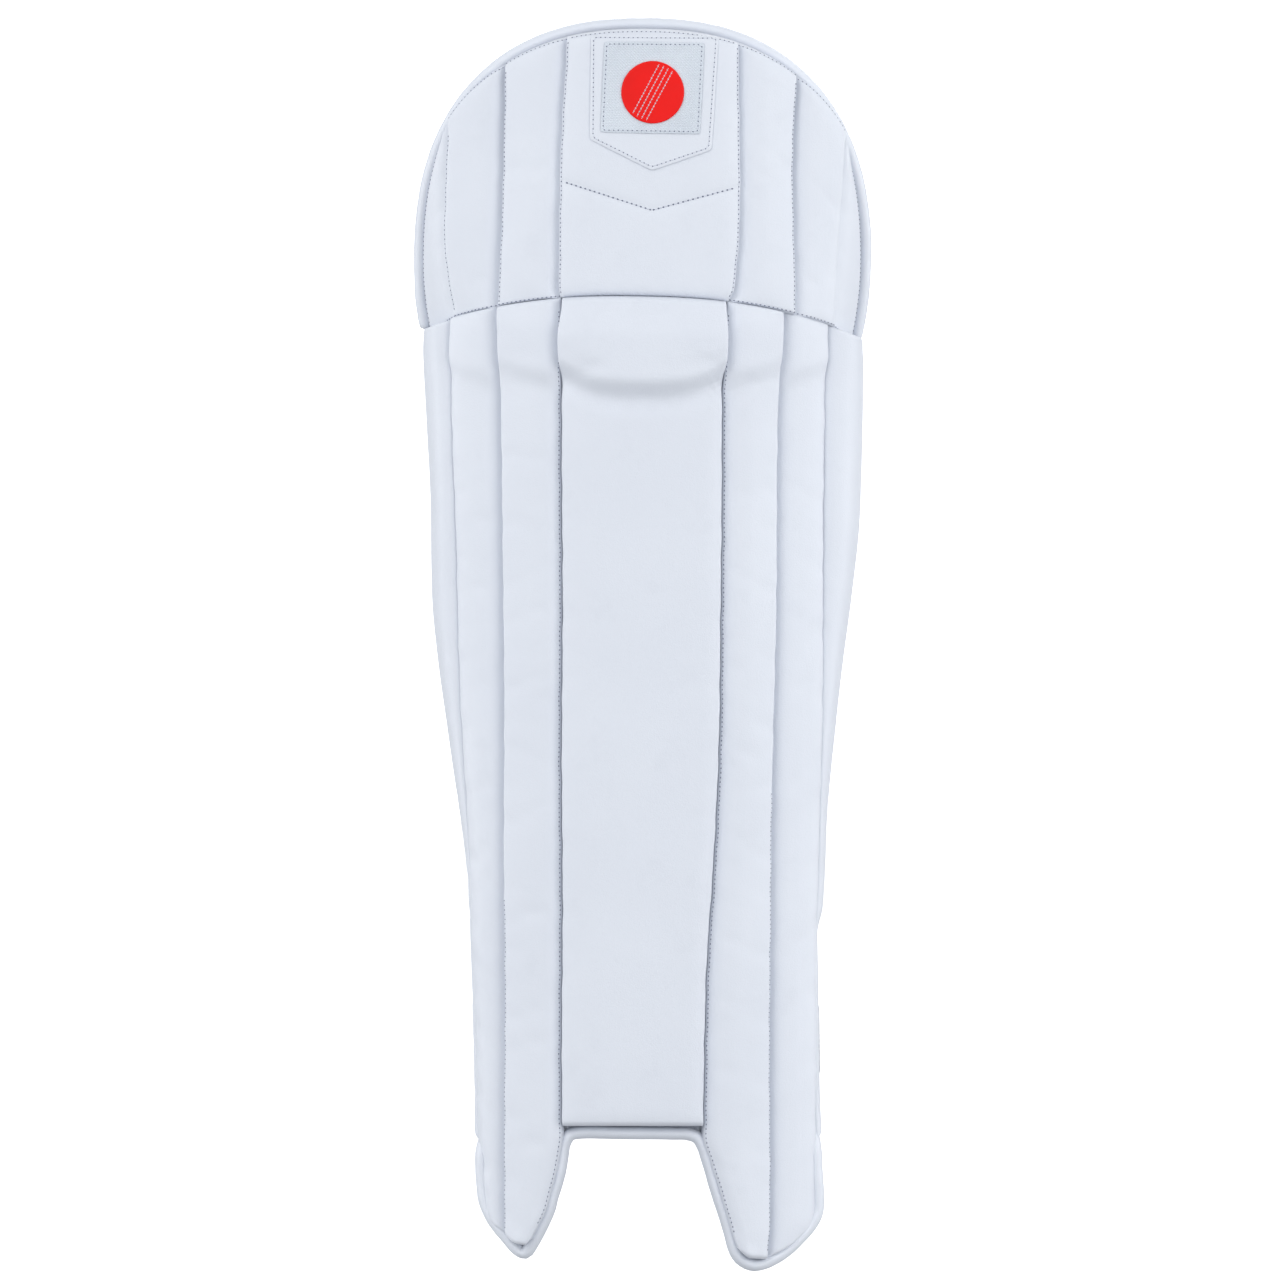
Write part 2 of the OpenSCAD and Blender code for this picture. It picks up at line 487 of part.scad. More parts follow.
// Badge: layers that follow the front of the hat's middle panel
badge_z = 576;
badge_lean = 1.13;     // degrees that the hat's middle panel leans back
function hat_front_y(z) = lookup(z, HAT_SEAM_Y[0]) - center_crown;
BADGE_PATCH = [[-28, 606], [42, 605], [38.6, 549], [5.6, 537.6], [-28.8, 555]];
BADGE_PLATE = [[-20, 604], [34, 603], [32, 558], [-22.7, 559]];
badge_center = [6, 581];
badge_emblem_r = 17;
module badge_layer(start, t) {
    translate([0, hat_front_y(badge_z) - 0.4 - start, badge_z]) rotate([90 - badge_lean, 0, 0])
        linear_extrude(t) translate([0, -badge_z]) children();
}
module badge_patch() {
    color(white) badge_layer(0, 1) polygon(BADGE_PATCH);
}
module badge_plate() {
    color([0.8, 0.83, 0.88]) badge_layer(1.2, 0.8) polygon(BADGE_PLATE);
}
module badge_emblem() {
    color([0.9, 0.15, 0.1]) badge_layer(2.2, 0.8) translate(badge_center) circle(r = badge_emblem_r, $fn = 64);
}

// Straps: an anchor sewn inside the left wing, a band behind the leg, and a tail
// whose hook patch grips the loop patch outside the right wing
STRAPS = ["knee", "calf", "ankle"];
STRAP_Z = [372, 236, 50];
TAIL_FROM = [0.6, 0.6, 0.52];
strap_gap = 0.35;
anchor_out = -(lining_t + 3.2);
tail_out = WING_CROWN + 3 * strap_gap + 2 * patch_t;
strap_back = 26;
fold_gap = 1.5;        // half the gap where the band folds away from its anchor
function plan(p) = [p[0], p[1]];
// Where the band leaves the anchor, and where it meets the tail
function band_start(z) = let (v = wing_level(z, 1), p = wing_point(LEFT, 0.93, v, -wing_depth(0.93) + anchor_out - strap_t / 2))
    [-p[0], wing_outer(LEFT, v)[0][1] + 9];
function tail_spot(z, s) = plan(wing_point(RIGHT, s, wing_level(z, s), tail_out + strap_t / 2));
function bezier(a, b, c, d, t) = a * pow(1 - t, 3) + 3 * b * t * pow(1 - t, 2) + 3 * c * t * t * (1 - t) + d * pow(t, 3);
function band_route(z) = let (
        a = band_start(z), d = tail_spot(z, 1.06), m = [(a[0] + d[0]) / 2, max(a[1], d[1]) + strap_back])
    concat([for (t = [0:0.125:1]) bezier(a + [0, fold_gap], a + [1, 12], [a[0] * 0.6, m[1]], m, t)],
           [for (t = [0.125:0.125:1]) bezier(m, [d[0] * 0.75, m[1]], d + [0.5, 16], d + [0, 0.8], t)]);
function anchor_route(z) = concat(
    [for (s = [0.6, 0.7, 0.8, 0.93]) plan(wing_point(LEFT, s, wing_level(z, s), -wing_depth(s) + anchor_out - strap_t / 2))],
    [let (p = band_start(z)) [-p[0], p[1] - fold_gap]]);

function plan_way(route, i) = let (a = route[max(0, i - 1)], b = route[min(len(route) - 1, i + 1)]) (b - a) / norm(b - a);
// Upright strip between two plan routes of equal length, one at its lower and one at its upper edge
module strip(low_route, high_route, low, high, t) {
    side = function (route, i, z, off) let (w = plan_way(route, i)) [route[i][0] - w[1] * off, route[i][1] + w[0] * off, z];
    loft([for (i = [0:len(low_route) - 1]) [
        side(low_route, i, low, t / 2), side(low_route, i, low, -t / 2),
        side(high_route, i, high, -t / 2), side(high_route, i, high, t / 2)]]);
}
module strap_strip(which, route, t, w) {
    low = STRAP_Z[which] - w / 2;
    high = STRAP_Z[which] + w / 2;
    strip(route(low), route(high), low, high, t);
}
module strap_anchor(which) {
    color(webbing_color) mirror([1, 0, 0]) strap_strip(which, function (z) anchor_route(z), strap_t, strap_w);
}
module strap_band(which) {
    color(webbing_color) strap_strip(which, function (z) band_route(z), strap_t, strap_w);
}
// Strip that lies on the outside of the right wing, from one place across it to another
module wing_strip(which, from, to, out, t, w) {
    low = STRAP_Z[which] - w / 2;
    high = STRAP_Z[which] + w / 2;
    spot = function (z, s, off) wing_point(RIGHT, s, wing_level(z, s), off);
    loft([for (i = [0:5]) let (s = mix(from, to, i / 5)) [
        spot(low, s, out + t), spot(low, s, out), spot(high, s, out), spot(high, s, out + t)]]);
}
module strap_tail(which) {
    color(webbing_color) wing_strip(which, 1.03, TAIL_FROM[which], tail_out, strap_t, strap_w);
}
module strap_hook(which) {
    color([0.6, 0.63, 0.66])
        wing_strip(which, 0.93, TAIL_FROM[which] + 0.02, tail_out - strap_gap - patch_t, patch_t, strap_w - 4);
}
module strap_loop(which) {
    color([0.7, 0.72, 0.75])
        wing_strip(which, 0.92, TAIL_FROM[which] - 0.02, WING_CROWN + strap_gap, patch_t, strap_w + 6);
}

shin_center_cover();
channel_cover(LEFT, 0);  // left_channel_1_cover
channel_cover(LEFT, 1);  // left_channel_2_cover
wing_cover(LEFT);  // left_wing_cover
channel_cover(RIGHT, 0);  // right_channel_1_cover
channel_cover(RIGHT, 1);  // right_channel_2_cover
wing_cover(RIGHT);  // right_wing_cover
shin_center_foam();
channel_foam(LEFT, 0);  // left_channel_1_foam
channel_foam(LEFT, 1);  // left_channel_2_foam
wing_foam(LEFT);  // left_wing_foam
channel_foam(RIGHT, 0);  // right_channel_1_foam
channel_foam(RIGHT, 1);  // right_channel_2_foam
wing_foam(RIGHT);  // right_wing_foam
knee_foam();
shin_center_canes();
channel_canes(LEFT);  // left_canes
channel_canes(RIGHT);  // right_canes
shin_lining_center();
shin_lining(LEFT);  // shin_lining_left
shin_lining(RIGHT);  // shin_lining_right
shin_bolster(LEFT);  // left_shin_bolster
shin_bolster(RIGHT);  // right_shin_bolster
knee_bolster();
instep_binding();
wing_binding(LEFT);  // left_wing_binding
wing_binding(RIGHT);  // right_wing_binding
hat_center_cover();
hat_side_cover(LEFT, 0);  // hat_left_1_cover
hat_side_cover(LEFT, 1);  // hat_left_2_cover
hat_side_cover(LEFT, 2);  // hat_left_3_cover
hat_side_cover(RIGHT, 0);  // hat_right_1_cover
hat_side_cover(RIGHT, 1);  // hat_right_2_cover
hat_side_cover(RIGHT, 2);  // hat_right_3_cover
hat_center_foam();
hat_side_foam(LEFT);  // hat_left_foam
hat_side_foam(RIGHT);  // hat_right_foam
hat_lining();
hat_bolster();
hat_binding();
badge_patch();
badge_plate();
badge_emblem();
for (i = [0:2]) {
    strap_anchor(i);
    strap_band(i);
    strap_tail(i);
    strap_hook(i);
    strap_loop(i);
}
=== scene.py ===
"""Looks of the cricket leg pad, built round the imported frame.

Shapes are worked out in millimetres, in the CAD frame, and made in metres."""
import bmesh
import bpy
import math
import numpy as np
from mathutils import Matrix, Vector, noise


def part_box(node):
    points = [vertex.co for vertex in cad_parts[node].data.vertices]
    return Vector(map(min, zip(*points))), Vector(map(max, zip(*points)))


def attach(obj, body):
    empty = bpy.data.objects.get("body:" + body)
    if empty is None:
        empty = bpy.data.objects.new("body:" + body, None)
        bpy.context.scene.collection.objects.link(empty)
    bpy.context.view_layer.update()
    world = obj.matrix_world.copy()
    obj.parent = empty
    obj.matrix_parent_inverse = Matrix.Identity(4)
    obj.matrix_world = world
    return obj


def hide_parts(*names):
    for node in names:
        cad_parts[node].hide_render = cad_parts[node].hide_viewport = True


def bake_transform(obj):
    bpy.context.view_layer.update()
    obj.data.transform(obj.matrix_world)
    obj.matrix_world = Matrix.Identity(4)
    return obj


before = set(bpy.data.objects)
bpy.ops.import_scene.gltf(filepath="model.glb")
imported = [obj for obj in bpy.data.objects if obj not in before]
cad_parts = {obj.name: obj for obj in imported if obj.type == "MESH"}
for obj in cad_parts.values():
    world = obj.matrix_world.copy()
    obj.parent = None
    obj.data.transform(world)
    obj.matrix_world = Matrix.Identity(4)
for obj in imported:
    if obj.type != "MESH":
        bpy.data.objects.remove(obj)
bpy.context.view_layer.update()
MM = 0.001
LEFT = 0
RIGHT = 1
SIDES = (LEFT, RIGHT)
SIDE_NAME = ("left", "right")

# --------------------------------------------------------------------------- camera, light and stage
scene = bpy.context.scene
VIEW_CENTER = Vector((-0.0011, 0.0, 0.2744))
VIEW_HEIGHT = 0.7168
CAMERA_DISTANCE = 12
FRONT_DEPTH = 0.03          # how far forward the pad's front stands, where the view's height is measured
FLOOR_Z = -0.0835
LIGHT_AIM = Vector((0, 0, 0.28))
LIGHTS = (                  # name, place, size and power
    ("key_light", (-1.4, -2.5, 1.6), (1.6, 1.6), 23),
    ("fill_light", (1.6, -2.2, 0.8), (1.6, 2.0), 19),
    ("low_light", (0.0, -2.5, 0.1), (2.4, 0.9), 4),
    ("left_light", (-2.6, 0.3, 0.6), (1.2, 2.0), 21),
    ("right_light", (2.6, 0.3, 0.6), (1.2, 2.0), 21),
    ("rear_light", (0.3, 2.4, 1.8), (2.5, 1.5), 20),
)
SKY_COLOR = (0.94, 0.965, 1.0, 1)
SKY = (0.56, 0.78)          # the sky's strength from below and from above


def make_camera():
    data = bpy.data.cameras.new("camera")
    data.sensor_width = 36
    data.lens = data.sensor_width * (CAMERA_DISTANCE - FRONT_DEPTH) / VIEW_HEIGHT
    camera = bpy.data.objects.new("camera", data)
    camera.location = VIEW_CENTER + Vector((0, -CAMERA_DISTANCE, 0))
    camera.rotation_euler = (math.radians(90), 0, 0)
    scene.collection.objects.link(camera)
    scene.camera = camera


def make_lights():
    for name, place, size, power in LIGHTS:
        data = bpy.data.lights.new(name, "AREA")
        data.shape = "RECTANGLE"
        data.size, data.size_y = size
        data.energy = power
        light = bpy.data.objects.new(name, data)
        light.location = place
        light.rotation_euler = (LIGHT_AIM - Vector(place)).to_track_quat("-Z", "Y").to_euler()
        scene.collection.objects.link(light)


def make_sky():
    """A pale sky, brighter from above, that fills the shadows."""
    world = bpy.data.worlds.new("studio")
    world.use_nodes = True
    tree = world.node_tree
    way = tree.nodes.new("ShaderNodeTexCoord").outputs["Generated"]
    parts = tree.nodes.new("ShaderNodeSeparateXYZ")
    tree.links.new(way, parts.inputs[0])
    lift = tree.nodes.new("ShaderNodeMapRange")
    for socket, value in (("From Min", -1), ("From Max", 1), ("To Min", SKY[0]), ("To Max", SKY[1])):
        lift.inputs[socket].default_value = value
    tree.links.new(parts.outputs[2], lift.inputs["Value"])
    background = tree.nodes["Background"]
    background.inputs["Color"].default_value = SKY_COLOR
    tree.links.new(lift.outputs["Result"], background.inputs["Strength"])
    scene.world = world
    scene.view_settings.view_transform = "Standard"


def stage_object(name, profile, glow):
    """A round of the studio: a profile of (radius, height) turned about the middle."""
    steps = 64
    turn = np.linspace(0, 2 * np.pi, steps, endpoint=False)
    verts = [(r * math.cos(a), r * math.sin(a), z) for r, z in profile for a in turn]
    mesh = bpy.data.meshes.new(name)
    mesh.from_pydata(verts, [], grid_faces(len(profile), steps))
    mesh.shade_smooth()
    material = bpy.data.materials.new(name)
    material.use_nodes = True
    shader = material.node_tree.nodes["Principled BSDF"]
    shader.inputs["Base Color"].default_value = (0.9, 0.9, 0.9, 1)
    shader.inputs["Roughness"].default_value = 0.9
    shader.inputs["Specular IOR Level"].default_value = 0.1
    shader.inputs["Emission Color"].default_value = (1, 1, 1, 1)
    shader.inputs["Emission Strength"].default_value = glow
    mesh.materials.append(material)
    stage = bpy.data.objects.new(name, mesh)
    stage.visible_diffuse = False
    stage.visible_glossy = False
    scene.collection.objects.link(stage)
    return stage


def make_stage():
    """A pale floor under the pad, and a white studio wall all round, beyond the camera."""
    stage_object("studio_floor", ((0.001, FLOOR_Z), (1, FLOOR_Z), (30, FLOOR_Z)), 0.62)
    wall = stage_object("studio_wall", ((30, FLOOR_Z), (30, 10), (20, 25), (0.001, 30)), 1.1)
    wall.visible_shadow = False


# --------------------------------------------------------------------------- numbers shared by the pieces
def mix(a, b, t):
    return a + (b - a) * t


def unit(ways):
    """The same ways with a length of one."""
    return ways / np.linalg.norm(ways, axis=-1, keepdims=True)


def run_along(points):
    """How far along a route each of its points is."""
    return np.concatenate([[0], np.cumsum(np.linalg.norm(np.diff(points, axis=0), axis=1))])


def at_runs(spots, run, points):
    """Points of a route at the given lengths along it."""
    return np.stack([np.interp(spots, run, points[:, i]) for i in range(3)], -1)


def hand(left):
    """What turns a place on the right side of the pad over to the left, or leaves it."""
    return np.array((-1, 1, 1) if left else (1, 1, 1))


def grid_faces(rows, count, closed=True):
    """Faces between rows of points; closed joins each row's end to its start."""
    across = [(j, (j + 1) % count) for j in range(count if closed else count - 1)]
    return [(i * count + j, i * count + n, (i + 1) * count + n, (i + 1) * count + j)
            for i in range(rows - 1) for j, n in across]


def smooth(low, high, t):
    u = np.clip((t - low) / (high - low), 0, 1)
    return u * u * (3 - 2 * u)


def line(*points):
    """A smooth curve through (place, value) points that never overshoots them (monotone cubic)."""
    t = np.array([p[0] for p in points], float)
    v = np.array([p[1] for p in points], float)
    gap = np.diff(t)
    slope = np.diff(v) / gap
    turn = np.zeros(len(t))
    for i in range(1, len(t) - 1):
        a, b = slope[i - 1], slope[i]
        if a * b > 0:
            w1, w2 = 2 * gap[i] + gap[i - 1], gap[i] + 2 * gap[i - 1]
            turn[i] = (w1 + w2) / (w1 / a + w2 / b)
    turn[0], turn[-1] = slope[0], slope[-1]

    def value(x):
        x = np.asarray(x, float)
        k = np.clip(np.searchsorted(t, x) - 1, 0, len(gap) - 1)
        u = np.clip((x - t[k]) / gap[k], 0, 1)
        h = gap[k]
        return ((1 + 2 * u) * (1 - u) ** 2 * v[k] + u * (1 - u) ** 2 * h * turn[k]
                + u * u * (3 - 2 * u) * v[k + 1] + u * u * (u - 1) * h * turn[k + 1])
    return value


# Shin seams, outline and feet: distance from the middle plane at a height, as in the CAD frame
SEAM_X = (
    (
        line((-66, 66.6), (-54, 60), (-46, 56), (-37, 53.2), (-27, 50.2), (-16, 47.8), (-7, 46.4), (4, 44.8),
             (464, 44.8)),
        line((-68, 75.5), (41, 75.6), (300, 76.2), (464, 79)),
        line((-52, 86), (0, 89), (84, 91.5), (151, 94), (241, 99), (315, 101), (404, 104), (460, 103)),
    ),
    (
        line((-66, 55.1), (-57, 52.1), (-47, 49.2), (-38, 46.2), (-27, 42.8), (-16, 39.2), (-7, 36),
             (4, 34.3), (80, 36), (149, 40), (252, 44), (409, 45), (464, 47)),
        line((-72, 69), (-50, 70), (131, 70.6), (252, 73), (400, 75), (464, 77)),
        line((-52, 95), (100, 94.5), (150, 96.5), (250, 98.5), (464, 100)),
    ),
)
OUTLINE_X = (
    line((-30, 92), (84, 94.5), (129, 96), (151, 98.6), (218, 108), (263, 114), (308, 118), (353, 118.7),
         (398, 120.4), (442, 122.6)),
    line((-30, 100), (84, 98.3), (108, 97.6), (124, 101), (174, 104), (218, 108), (263, 112.6), (308, 118),
         (353, 122), (440, 124)),
)
FOOT_Z = (
    line((60, -57.5), (65.5, -64.5), (70, -63.5), (76, -57.3), (83.5, -48), (88, -37.5)),
    line((52, -64), (56, -69), (61, -71.8), (67, -71.8), (74, -69), (81, -64.6), (87, -59), (93, -52.3),
         (97, -44.5)),
)
FOOT_FIT = 1.2              # how much wider than the CAD feet the covers reach into their binding
SEAM_Y = (-27, -17, 2)
SEAM_TURN = (9, 27, 52)     # degrees that the surface is turned away from the front at each seam
SEAM_DEPTH = (21, 20, 17)   # the pad's thickness behind each seam
WING_TURN = 100
WING_EDGE_DEPTH = 9
WING_REACH = line((-8, 42), (60, 46), (110, 50), (160, 60), (240, 72), (400, 85), (440, 80))
WING_TUCK = line((-8, 25), (110, 25), (400, 30))
WING_LOW = (-8, 8)          # heights at the seam and at the free edge
WING_HIGH = (452, 424)
WING_CROWN = 3
WIDEST = 0.35               # where across a wing it reaches the outline
ARCH_Z = 2.2
KNEE_SEAM_Z, KNEE_SEAM_TILT, KNEE_SEAM_HALF, KNEE_SEAM_DROP = 467, 0.02, 124, 21

# Top hat
DOME_X, DOME_Z, DOME_HALF, DOME_RISE, DOME_POWER = 0.5, 487, 128.5, 136, 2.35
DOME_NARROWING = 0.0027
BINDING_R = 3.4
RIM_GAP = 6.0               # how far inside the dome's outline the covers end, in their binding
HAT_SEAM_X = (
    (line((464, 44.5), (471, 46), (532, 45), (616, 41)), line((460, 79.5), (509, 77), (594, 75.6)),
     line((456, 103), (500, 109), (560, 107))),
    (line((464, 47.6), (471, 51), (526, 54), (616, 53.5)), line((458, 84.6), (538, 83.4), (590, 85.5)),
     line((452, 106), (490, 108), (556, 112))),
)
HAT_SEAM_Y = (line((464, -27), (616, -24)), line((461, -17), (590, -16)), line((457, 1), (550, -6)))
HAT_RIM_Y = line((440, 34), (487, 22), (552, -1))
HAT_TURN = (8, 22, 38, 15)
HAT_DEPTH = (18, 16, 14, 9)


def facing(turn):
    a = np.radians(turn)
    return np.stack([np.sin(a), -np.cos(a), np.zeros_like(a)], -1)


def knee_seam_z(x):
    return KNEE_SEAM_Z - KNEE_SEAM_TILT * x - (np.abs(x) / KNEE_SEAM_HALF) ** 2.4 * KNEE_SEAM_DROP


def dome_top(x):
    share = np.clip(1 - (np.abs(x - DOME_X) / DOME_HALF) ** DOME_POWER, 0, None)
    return DOME_Z + DOME_RISE * share ** (1 / DOME_POWER)


def dome_side(z):
    z = np.asarray(z, float)
    share = np.clip(1 - (np.clip(z - DOME_Z, 0, None) / DOME_RISE) ** DOME_POWER, 0, None)
    below = DOME_HALF - (DOME_Z - z) ** 2 * DOME_NARROWING
    return np.where(z > DOME_Z, DOME_HALF * share ** (1 / DOME_POWER), below)


def hand_sewn(z, seam):
    """The small waver of a sewn seam."""
    quick = 0.12 * np.sin(z / 5.3 + 1.7 * seam) + 0.1 * np.sin(z / 2.9 + 0.6 * seam)
    return quick + 0.25 * np.sin(z / 27 + seam)


def seam_edge(side, k, low, high):
    """Seam k of the shin between two heights: place, way it faces and depth behind it, for levels v."""
    def edge(v):
        z = mix(low, high, v)
        x = SEAM_X[side][k](z) + hand_sewn(z, side + 2 * k)
        if k == 0:
            x = x - FOOT_FIT * smooth(6, -6, z)
        return np.stack([x, np.full_like(z, SEAM_Y[k]), z], -1), SEAM_TURN[k], SEAM_DEPTH[k]
    return edge


def hat_edge(side, k, low, high):
    """Seam k of the top hat between two heights, or its rim for k = 3."""
    def edge(v):
        z = mix(low, high, v)
        if k == 3:
            return np.stack([dome_side(z) - RIM_GAP, HAT_RIM_Y(z), z], -1), HAT_TURN[3], HAT_DEPTH[3]
        x = HAT_SEAM_X[side][k](z) + hand_sewn(z, side + 2 * k)
        return np.stack([x, HAT_SEAM_Y[k](z), z], -1), HAT_TURN[k], HAT_DEPTH[k]
    return edge


def mirrored(edge):
    def flip(v):
        place, turn, depth = edge(v)
        return place * hand(True), -turn, depth
    return flip


def wing_edges(side):
    """A wing's seam, and its free edge behind."""
    def inner(v):
        z = mix(WING_LOW[0], WING_HIGH[0], v)
        return np.stack([SEAM_X[side][2](z), np.full_like(z, SEAM_Y[2]), z], -1), SEAM_TURN[2], SEAM_DEPTH[2]

    def outer(v):
        z = mix(WING_LOW[1], WING_HIGH[1], v)
        place = np.stack([OUTLINE_X[side](z) - WING_TUCK(z), SEAM_Y[2] + WING_REACH(z), z], -1)
        return place, WING_TURN, WING_EDGE_DEPTH
    return inner, outer


def wing_bow(side, v, across):
    """How far a wing stands out from the chord between its edges, so that it reaches the outline."""
    inner, outer = wing_edges(side)
    a, b = inner(v)[0], outer(v)[0]
    turn = math.radians(mix(SEAM_TURN[2], WING_TURN, WIDEST))
    rise = (OUTLINE_X[side](a[:, 2]) - mix(a[:, 0], b[:, 0], WIDEST)) / math.sin(turn)
    share = np.sin(np.pi * np.clip(across, 0, None) ** (math.log(0.5) / math.log(WIDEST)))
    return np.maximum(1, rise - WING_CROWN)[:, None] * share


# --------------------------------------------------------------------------- quilted panels
BACK_PITCH = 4              # the back of a panel has one point for this many of the front's
CROWN_RUN = 9               # how far in from its seams a front reaches its full crown
TUCK, TUCK_RUN = 2.5, 4     # how much the back comes in at the ends, and over what length


class Panel:
    """One quilted panel between two seams: its front over place s (0 to 1 across) and level v (0 to 1 up).

    Everything is worked out on the right side of the pad and turned over at the end for a left piece. Heights
    are over the seams' surface: crown in the middle, side_top where the front is sewn down at the inner and
    outer seams, and end_top at the lower and upper ends. fold and ends are how wide it rounds down there."""

    flip = False
    share = 0.84            # how much of the crown is there beside the seams
    low_side = None         # the height at the inner seam, where the front rises slowly
    rise = 3.6              # how wide that slow rise is
    fold, side_top = (1.8, 1.8), (-5.5, -5.5)
    ends, end_top = (4.0, 4.0), (-2.0, -2.0)
    floor = roof = None     # heights over x that the lower and upper ends follow
    shape = spread = None   # what else raises the front, and what moves it sideways
    wing = None             # the side of the pad, for a wing
    seed = 0
    puff = None             # how far the inflated cloth rose

    def __init__(self, name, edge_a, edge_b, crown, **settings):
        self.name, self.edge_a, self.edge_b, self.crown = name, edge_a, edge_b, crown
        vars(self).update(settings)
        low, high = edge_a(np.array([0.0, 1.0]))[0][:, 2]
        self.length = high - low

    def chord(self, s, v):
        """Points between the seams, the way out of the pad, the depth behind, and the width at each level."""
        (a, turn_a, depth_a), (b, turn_b, depth_b) = self.edge_a(v), self.edge_b(v)
        width = np.linalg.norm(b - a, axis=-1)
        if self.wing is not None:
            across = s[None, :] * (1 - BINDING_R / width)[:, None]
        else:
            across = s[None, :] * np.ones((len(v), 1))
        place = a[:, None, :] + (b - a)[:, None, :] * across[..., None]
        out = facing(mix(turn_a, turn_b, across))
        if self.wing is not None:
            place = place + out * wing_bow(self.wing, v, across)[..., None]
            top = knee_seam_z(hand(self.flip)[0] * place[-1, :, 0]) - WING_GAP
            lift = (top - place[-1, :, 2]) * (1 - smooth(0.4, 0.95, s))
            place[..., 2] += np.clip(4 * v - 3, 0, 1)[:, None] * lift[None, :]
        for fit, end in ((self.floor, 0.0), (self.roof, 1.0)):
            if fit is not None:
                xa, xb = (edge(np.array([end]))[0][0, 0] for edge in (self.edge_a, self.edge_b))
                near = np.clip(1 - 4 * np.abs(v - end), 0, 1)
                place[..., 2] += near[:, None] * (fit(mix(xa, xb, s)) - mix(fit(xa), fit(xb), s))[None, :]
        return place, out, mix(depth_a, depth_b, across), width

    def front(self, s, v, lift=0.0):
        """The front surface as a grid of points, turned over for a left piece, and the way out at each."""
        place, out, _, width = self.chord(s, v)
        d0, d1 = s[None, :] * width[:, None], (1 - s)[None, :] * width[:, None]
        e0, e1 = v[:, None] * self.length + 0 * d0, (1 - v)[:, None] * self.length + 0 * d0
        near = np.minimum(d0, d1)
        top = self.crown * (self.share + (1 - self.share) * (1 - np.exp(-near / CROWN_RUN)))
        if self.low_side is not None:
            slow = 1 - np.exp(-(d0 / self.rise) ** 1.6)
            top = np.minimum(top, self.low_side + (self.crown - self.low_side) * slow)
        if self.shape is not None:
            top = top + self.shape(place, s)
        top = top + self.puckers(place, near, np.minimum(e0, e1))
        if self.puff is not None:
            top = top + self.puff_at(s, v)
        for d, r, low in ((d1, self.fold[1], self.side_top[1]), (e0, self.ends[0], self.end_top[0]),
                          (e1, self.ends[1], self.end_top[1]), (d0, self.fold[0], self.side_top[0])):
            if r > 0:
                u = np.clip(d / r, 0, 1)
                top = mix(np.minimum(low, top), top, np.sqrt(np.clip(1 - (1 - u) ** 2, 0, 1)))
        points = place + out * (top + lift)[..., None]
        if self.spread is not None:
            points = points + self.spread(place, s)
        return points * hand(self.flip), out * hand(self.flip)

    def puckers(self, place, near, end):
        """Slow unevenness of the stuffing, and small puckers that run in from the sewn edges."""
        slow, side, ends = np.zeros(near.shape), np.zeros(near.shape), np.zeros(near.shape)
        for i, row in enumerate(place):
            for j, (x, _, z) in enumerate(row):
                slow[i, j] = noise.noise((x / 38, self.seed * 7.3, z / 46))
                side[i, j] = noise.noise((self.seed * 3.1 + x / 60, 0.4, z / 5.5))
                if end[i, j] < 22:
                    ends[i, j] = noise.noise((x / 6.5, self.seed * 5.7, z / 60))
        return 0.3 * slow + 0.10 * side * np.exp(-near / 4) + 0.42 * ends * np.exp(-end / 6)

    def puff_at(self, s, v):
        """How far the inflated cloth rose, read smoothly off its grid."""
        def weights(t, count):
            place = np.clip(t, 0, 1) * (count - 1)
            rows = np.zeros((len(t), count))
            for k in range(count):
                u = np.abs(place - k)
                far = np.where(u < 2, (2 - u) ** 3 / 6, 0)
                rows[:, k] = np.where(u < 1, (4 - 6 * u ** 2 + 3 * u ** 3) / 6, far)
            return rows / rows.sum(axis=1, keepdims=True)
        return weights(v, self.puff.shape[0]) @ self.puff @ weights(s, self.puff.shape[1]).T

    def levels(self, pitch):
        """Levels a pitch apart, closer near the sewn ends."""
        near = np.array((0, 0.3, 0.8, 1.5, 2.4, 3.4, 4.6, 6.0)) / self.length
        count = max(5, int(round((1 - 2 * near[-1]) * self.length / pitch)))
        return np.concatenate([near, np.linspace(near[-1], 1 - near[-1], count + 1)[1:-1], 1 - near[::-1]])

    def build(self, material, count=41, pitch=2.6):
        """Closed mesh: the puffed front, the walls down into the seams, and the back."""
        s, v = places(count), self.levels(pitch)
        front, _ = self.front(s, v)
        place, out, depth, _ = self.chord(s[::BACK_PITCH], v)
        end = np.minimum(v, 1 - v) * self.length
        tuck = TUCK * (1 - np.clip(end / TUCK_RUN, 0, 1)) ** 2
        back = (place - out * (depth - tuck[:, None])[..., None]) * hand(self.flip)
        walls = [mix(front[:, -1:], back[:, -1:], 0.5), back[:, ::-1], mix(front[:, :1], back[:, :1], 0.5)]
        return loft(self.name, np.concatenate([front] + walls, axis=1), material)

    def filling(self, name, material, inset, depth_share):
        """The foam inside, as a smaller closed form of the same shape."""
        s, v = mix(0.07, 0.93, places(17)), mix(8 / self.length, 1 - 8 / self.length, np.linspace(0, 1, 40))
        front, out = self.front(s, v, -inset)
        place, _, depth, _ = self.chord(s[::2], v)
        back = place * hand(self.flip) - out[:, ::2] * (depth[..., None] * depth_share - inset)
        return loft(name, np.concatenate([front, back[:, ::-1]], axis=1), material)


def places(count):
    """Places across a panel, closer together near its seams."""
    return (1 - np.cos(np.pi * np.linspace(0, 1, count))) / 2


